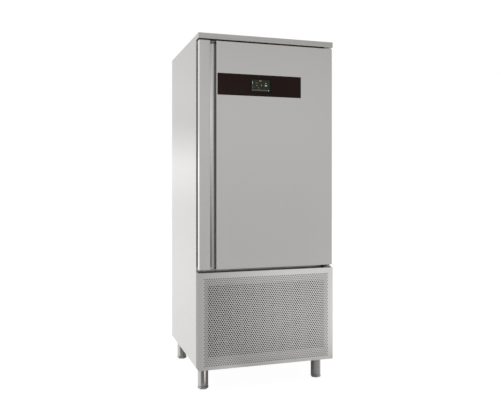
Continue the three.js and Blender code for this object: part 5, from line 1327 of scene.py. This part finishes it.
face = plate_with_mouths(SHROUD_X, SHROUD_Z, [FAN_CENTRE], COLLAR, SHROUD_Y, 20)
shroud = piece("condenser_fan_plate", [(face, black_enamel)], "cabinet", ["condenser_shroud"])
thicken(shroud, 2.0)
collar = turned(sheet(rounded([(COLLAR + 2, 0.4), (COLLAR, 0.4, 1), (COLLAR, 44)], 4), 1.6), 96, closed=True)
seat = turned([(8, 40), (35, 40), (36, 41), (36, 44), (8, 44)], 48, closed=True)
arms = [placed(block((-8, 8), (34, 158.5), (40.4, 43.8)), spin=2 * math.pi * k / 3) for k in range(3)]
mount = [(placed(part, at_fan(SHROUD_Y), "y"), black_enamel) for part in [collar, seat, *arms]]
piece("condenser_fan_mount", mount)
piece("condenser_fan_drive", [(placed(motor, at_fan(SEAT_Y + 46), "-y"), black_enamel)], "cabinet",
      ["condenser_fan_motor"])
wheel_shapes = fan_shapes(CONDENSER_WHEEL_TIP)
wheel = [(placed(shape, at_fan(SEAT_Y - 7), "-y"), fan_plastic) for shape in wheel_shapes]
piece("condenser_fan_wheel", wheel, "condenser_fan", ["condenser_fan"], angle=50)
print("condenser fan at", at_fan(SHROUD_Y))

# %% [markdown]
# ## Compressor, bottle and drier
#
# The compressor is a welded can with a seam round its middle, on four rubber pads. The bottle holds
# spare liquid refrigerant, and the drier is a copper capsule drawn in at both ends. They show only
# through the grille at the back, so they are plain turned shapes, but with the domes, seams and necks
# that such vessels have from deep drawing.

# %% Compressor, bottle and drier
BASE = 138.8
QUARTER = math.pi / 2
CAN, CAN_SHOULDER, CAN_DOME = 92, 228, 42
BOTTLE, BOTTLE_SHOULDER, BOTTLE_DOME = 52, 236, 34

can = [(0, 21), (70, 21), (80, 24), (88, 32), (CAN, 46)]
can += [(CAN, 150), (93, 151), (96, 152), (96, 164), (93, 165), (CAN, 166), (CAN, CAN_SHOULDER)]
dome = [QUARTER * k / 10 for k in range(1, 11)]
can += [(CAN - CAN * (1 - math.cos(a)) * 0.62, CAN_SHOULDER + CAN_DOME * math.sin(a)) for a in dome]
can += [(0, CAN_SHOULDER + CAN_DOME + 0.9)]
can_centre = (middle_of("compressor")[0], 80.0, BASE)
pad = turned([(0, 0), (12.5, 0), (14, 1.5), (11, 5), (14, 9), (14, 17), (12, 18), (0, 18)], 28)
pads = [placed(pad, (sx * 92, sy * 77, 0)) for sx in (-1, 1) for sy in (-1, 1)]
foot_plate = prism(rounded([(-110, -95, 12), (110, -95, 12), (110, 95, 12), (-110, 95, 12)], closed=True),
                   "z", 18, 22)
terminal_box = prism(rounded([(-34, 111, 5), (34, 111, 5), (34, 191, 5), (-34, 191, 5)], closed=True),
                     "y", -126, -60)
compressor = [(part, black_rubber) for part in pads]
compressor += [(part, black_enamel) for part in (foot_plate, turned(can, 72), terminal_box)]
piece("compressor_can", [(placed(part, can_centre), finish) for part, finish in compressor], "cabinet",
      ["compressor"], arris=0.8)

bottle_x, bottle_y = middle_of("liquid_receiver")[:2]
bottle = [(36.4, 0), (44.2, 0), (44.2, 16), (48.5, 22), (51.2, 29), (BOTTLE, 36), (BOTTLE, BOTTLE_SHOULDER)]
shoulder = [QUARTER * k / 9 for k in range(1, 9)]
bottle += [(BOTTLE * math.cos(a) ** 0.8, BOTTLE_SHOULDER + BOTTLE_DOME * math.sin(a)) for a in shoulder]
bottle += [(0, BOTTLE_SHOULDER + BOTTLE_DOME), (0, 12), (36.4, 12)]
piece("refrigerant_bottle", [(placed(turned(bottle, closed=True), (bottle_x, bottle_y, BASE)), black_enamel)],
      "cabinet", ["liquid_receiver"])
drier = [(0, 0), (9, 0), (9, 8), (12, 13), (18, 19), (21, 22), (22, 27), (22, 93), (21, 98), (18, 101),
         (12, 107), (9, 112), (9, 120), (0, 120)]
piece("drier_capsule", [(placed(turned(drier, 40), (-312, 300, 398.8)), copper)], "cabinet", ["filter_drier"])
print("compressor at", [round(c) for c in can_centre])

# %% [markdown]
# ## Pipes
#
# Copper pipe joins the vessels in a ring: hot gas from the compressor to the condenser, liquid from
# there to the bottle and through the drier up to the evaporator, and cold gas back down in a thicker
# pipe. Each is a bending list: its radius, the radius of its bends, and its corners.

# %% Pipes
RISER_X, RISER_Y, TURN_Z = 312.0, 300.0, 906.0
THIN_PIPE, THICK_PIPE, WIDE_BEND, TIGHT_BEND = 6, 9, 34, 17
can_x = can_centre[0]
pipe_runs = {
    "discharge_pipe": (THIN_PIPE, WIDE_BEND, [
        (can_x, 80, 410.1), (can_x, 80, 490.8), (268.3, -272.5, 490.8), (170.3, -272.5, 490.8)]),
    "condenser_pipe": (THIN_PIPE, WIDE_BEND, [
        (-230.3, -272.5, 200.8), (-298, -272.5, 200.8), (-298, bottle_y, 200.8),
        (bottle_x - 52.3, bottle_y, 200.8)]),
    "liquid_pipe": (THIN_PIPE, WIDE_BEND, [
        (bottle_x, bottle_y, 409.1), (bottle_x, bottle_y, 476.8), (-RISER_X, bottle_y, 476.8),
        (-RISER_X, bottle_y, 330.8), (-RISER_X, RISER_Y, 330.8), (-RISER_X, RISER_Y, 398.5)]),
    "feed_pipe": (THIN_PIPE, TIGHT_BEND, [
        (-RISER_X, RISER_Y, 519.1), (-RISER_X, RISER_Y, TURN_Z), (-273.3, RISER_Y, TURN_Z)]),
    "suction_pipe": (THICK_PIPE, TIGHT_BEND, [
        (273.3, RISER_Y, TURN_Z), (RISER_X, RISER_Y, TURN_Z), (RISER_X, RISER_Y, 248.8),
        (RISER_X, 80, 248.8), (can_x + 92.3, 80, 248.8)]),
}
for name, (radius, bend, corners) in pipe_runs.items():
    rods(f"{name}_run", [bent_route(corners, bend)], radius, copper, cad=[name])
print("pipes:", ", ".join(pipe_runs))

# %% [markdown]
# ## Tray, gland and louvres
#
# The tray that catches the melt water is a plain moulding. The mains cable would come in through a
# gland under the base: a threaded body with two nuts. The grille at the back has a pressed hood over
# each slot, which keeps water out. A hood is a short sheet that leans out of the panel, pulled along
# the width of the grille.

# %% Tray, gland and louvres
LOUVRES, LOUVRE_STEP, LOUVRE_HALF = 11, 30, 280

dress(["evaporation_tray"], grey_abs, 0.6)
gland_body = [(5, 114.2), (9.6, 114.2), (10.4, 114.9), (13, 119), (16.2, 122), (13, 122.3), (13, 139),
              (5, 139)]
gland = [
    turned(gland_body, 40, closed=True),
    hexagon([(5, 122), (15.2, 122), (16.9, 123), (16.9, 135), (16.2, 136.2), (5, 136.2)]),
    hexagon([(5, 138.8), (16.2, 138.8), (16.9, 139.6), (16.9, 144), (15.6, 144.8), (5, 144.8)]),
]
piece("mains_gland", [(placed(part, (80, 352, 0)), dark_pvc) for part in gland], "cabinet", ["mains_inlet"])

dress(["rear_grille"], galvanised)
grille_middle = middle_of("rear_grille")[2]
hoods = []
for k in range(LOUVRES):
    z = grille_middle + (k - LOUVRES // 2) * LOUVRE_STEP
    hood = rounded([(399.2, z + 9.4), (395, z + 8.6, 4), (390.5, z + 3, 4), (389.5, z - 1.5)], 4)
    hoods.append(prism(sheet(hood, 0.9), "x", -LOUVRE_HALF, LOUVRE_HALF))
piece("louvre_hoods", [(hood, galvanised) for hood in hoods], angle=50)
print("louvres:", len(hoods))

# %% [markdown]
# ## Studio
#
# Steel looks like what it reflects. The photograph was taken in a white studio, so the world is a white
# tent: seen directly it is plain white, and the steel sees the same tent with soft differences, as the
# corners, walls and floor of a real room would give. Lamps could do this too, but a lamp also throws
# light on the object, and the tent's patches can be placed where a face mirrors them. Each patch is a
# direction with a width and a height in degrees, and a strength that is added to the tent or taken off.

# %% World
TENT, DARKEST = 0.93, 0.03
PATCHES = [
    # azimuth from the front towards the right, half width and soft edge;
    # elevation, half height and soft edge; strength
    # behind on the left, mirrored at a slant by the side panel: two broad glows and the band across it
    ((192, 25, 15), (-4, 7, 5), 0.27),
    ((192, 25, 15), (-24, 14, 6), 0.22),
    ((192, 10, 5), (1.6, 1.6, 2.8), 0.37),
    ((192, 10, 5), (8.3, 1.2, 2.2), 0.10),
    # the whole left, for the folded edge of the door
    ((-100, 50, 30), (0, 40, 30), 0.30),
    # the floor of the room in front, light on the right and dark on the left
    ((30, 12, 5), (-35, 21, 5), 1.45),
    ((-23, 40, 5), (-35, 21, 5), -0.75),
    # narrow ones in front, a little to the right, which only the bottom of the groove mirrors sharply
    ((13.7, 3, 3), (6.4, 1.6, 4), 0.80),
    ((13.7, 4, 4), (-8, 6, 6), -0.86),
    ((13.7, 3, 3), (16, 4, 4), -0.46),
    # high in front on the right, where the wall meets the ceiling, for the nose
    ((50, 31, 8), (28, 12, 4), -0.55),
]


def band(tree, angle, centre, half, soft):
    """1 inside centre plus or minus half degrees, 0 beyond, with a soft edge between."""
    off = add_node(tree, "ShaderNodeMath", {1: math.radians(centre)}, {0: angle}, operation="SUBTRACT")
    away = add_node(tree, "ShaderNodeMath", links={0: off.outputs[0]}, operation="ABSOLUTE")
    edge = {"From Min": math.radians(half + soft), "From Max": math.radians(half - soft)}
    return add_node(tree, "ShaderNodeMapRange", edge, {"Value": away.outputs[0]},
                    interpolation_type="SMOOTHSTEP").outputs["Result"]


def patch_light(tree, towards, rise, patch):
    """What one patch adds to the light from a direction. rise is the elevation of that direction."""
    (azimuth, half_width, soft_x), (elevation, half_height, soft_z), strength = patch
    turn = {"Axis": (0, 0, 1), "Angle": math.pi - math.radians(azimuth)}
    facing = add_node(tree, "ShaderNodeVectorRotate", turn, {"Vector": towards}, rotation_type="AXIS_ANGLE")
    parts = add_node(tree, "ShaderNodeSeparateXYZ", links={"Vector": facing.outputs["Vector"]})
    around = add_node(tree, "ShaderNodeMath", links={0: parts.outputs["X"], 1: parts.outputs["Y"]},
                      operation="ARCTAN2")
    across = band(tree, around.outputs[0], 0, half_width, soft_x)
    upright = band(tree, rise, elevation, half_height, soft_z)
    inside = add_node(tree, "ShaderNodeMath", links={0: across, 1: upright}, operation="MULTIPLY")
    return add_node(tree, "ShaderNodeMath", {1: strength}, {0: inside.outputs[0]}, operation="MULTIPLY")


world = bpy.data.worlds.new("white_tent")
bpy.context.scene.world = world
world.use_nodes = True
sky = world.node_tree
sky.nodes.clear()
towards = add_node(sky, "ShaderNodeTexCoord").outputs["Generated"]
height = add_node(sky, "ShaderNodeSeparateXYZ", links={"Vector": towards})
rise = add_node(sky, "ShaderNodeMath", links={0: height.outputs["Z"]}, operation="ARCSINE")
light = add_node(sky, "ShaderNodeValue")
light.outputs[0].default_value = TENT
for patch in PATCHES:
    more = patch_light(sky, towards, rise.outputs[0], patch)
    light = add_node(sky, "ShaderNodeMath", links={0: light.outputs[0], 1: more.outputs[0]}, operation="ADD")
light = add_node(sky, "ShaderNodeMath", {1: DARKEST}, {0: light.outputs[0]}, operation="MAXIMUM")
rays = add_node(sky, "ShaderNodeLightPath")
direct = {0: rays.outputs["Is Camera Ray"], 1: rays.outputs["Is Transmission Ray"]}
direct = add_node(sky, "ShaderNodeMath", links=direct, operation="MAXIMUM")
strength = add_node(sky, "ShaderNodeMix", {"B": 1.0}, {"Factor": direct.outputs[0], "A": light.outputs[0]})
background = add_node(sky, "ShaderNodeBackground", {"Color": linear("#ffffff")},
                      {"Strength": strength.outputs[0]})
add_node(sky, "ShaderNodeOutputWorld", links={"Surface": background.outputs["Background"]})
print("patches in the tent:", len(PATCHES))

# %% [markdown]
# ## Floor
#
# A pale floor that the camera sees as white, but that still takes the soft shadow of the cabinet: most
# of it glows, a part is lit. Metal mirrors the real floor, with that shadow, only in two places: under
# the cabinet, which grounds the legs, and before its right half, which makes the perforated panel
# darker towards the bottom. Everywhere else metal looks through the floor into the tent.

# %% Floor
FLOOR_HALF = 14.0
GLOW_STRENGTH, GLOW_SHARE = 1.12, 0.86
UNDER = (0.0, 0.0), (0.36, 0.38)
BEFORE = (0.25, -0.50), (0.33, 0.16)

floor_mesh = bpy.data.meshes.new("pale_floor")
floor_corners = [(x * FLOOR_HALF, y * FLOOR_HALF, 0) for x, y in ((-1, -1), (1, -1), (1, 1), (-1, 1))]
floor_mesh.from_pydata(floor_corners, [], [(0, 1, 2, 3)])
floor = bpy.data.objects.new("pale_floor", floor_mesh)
bpy.context.scene.collection.objects.link(floor)


def beyond(tree, centre, half):
    """0 on a rectangle of the floor, 1 away from it, with a soft edge."""
    place = add_node(tree, "ShaderNodeTexCoord").outputs["Object"]
    offset = add_node(tree, "ShaderNodeVectorMath", {1: (*centre, 0.0)}, {0: place}, operation="SUBTRACT")
    distance = add_node(tree, "ShaderNodeVectorMath", links={0: offset.outputs["Vector"]},
                        operation="ABSOLUTE")
    past = add_node(tree, "ShaderNodeVectorMath", {1: (*half, 0.0)}, {0: distance.outputs["Vector"]},
                    operation="SUBTRACT")
    parts = add_node(tree, "ShaderNodeSeparateXYZ", links={"Vector": past.outputs["Vector"]})
    farther = add_node(tree, "ShaderNodeMath", links={0: parts.outputs["X"], 1: parts.outputs["Y"]},
                       operation="MAXIMUM")
    edge = {"From Min": -0.04, "From Max": 0.08}
    return add_node(tree, "ShaderNodeMapRange", edge, {"Value": farther.outputs[0]},
                    interpolation_type="SMOOTHSTEP").outputs["Result"]


pale = bpy.data.materials.new("pale_floor")
pale.use_nodes = True
tree = pale.node_tree
tree.nodes.clear()
rays = add_node(tree, "ShaderNodeLightPath")
matte = add_node(tree, "ShaderNodeBsdfDiffuse", {"Color": linear("#d8d8d8")})
glow = add_node(tree, "ShaderNodeEmission", {"Color": linear("#ffffff"), "Strength": GLOW_STRENGTH})
share = add_node(tree, "ShaderNodeMath", {1: GLOW_SHARE}, {0: rays.outputs["Is Camera Ray"]},
                 operation="MULTIPLY")
near = add_node(tree, "ShaderNodeMixShader",
                links={0: share.outputs[0], 1: matte.outputs[0], 2: glow.outputs[0]})
far = add_node(tree, "ShaderNodeMath", links={0: beyond(tree, *UNDER), 1: beyond(tree, *BEFORE)},
               operation="MULTIPLY")
unseen = add_node(tree, "ShaderNodeMath", links={0: rays.outputs["Is Glossy Ray"], 1: far.outputs[0]},
                  operation="MULTIPLY")
clear = add_node(tree, "ShaderNodeBsdfTransparent")
mixed = add_node(tree, "ShaderNodeMixShader",
                 links={0: unseen.outputs[0], 1: near.outputs[0], 2: clear.outputs[0]})
add_node(tree, "ShaderNodeOutputMaterial", links={"Surface": mixed.outputs[0]})
floor_mesh.materials.append(pale)
print("floor:", 2 * FLOOR_HALF, "m wide")
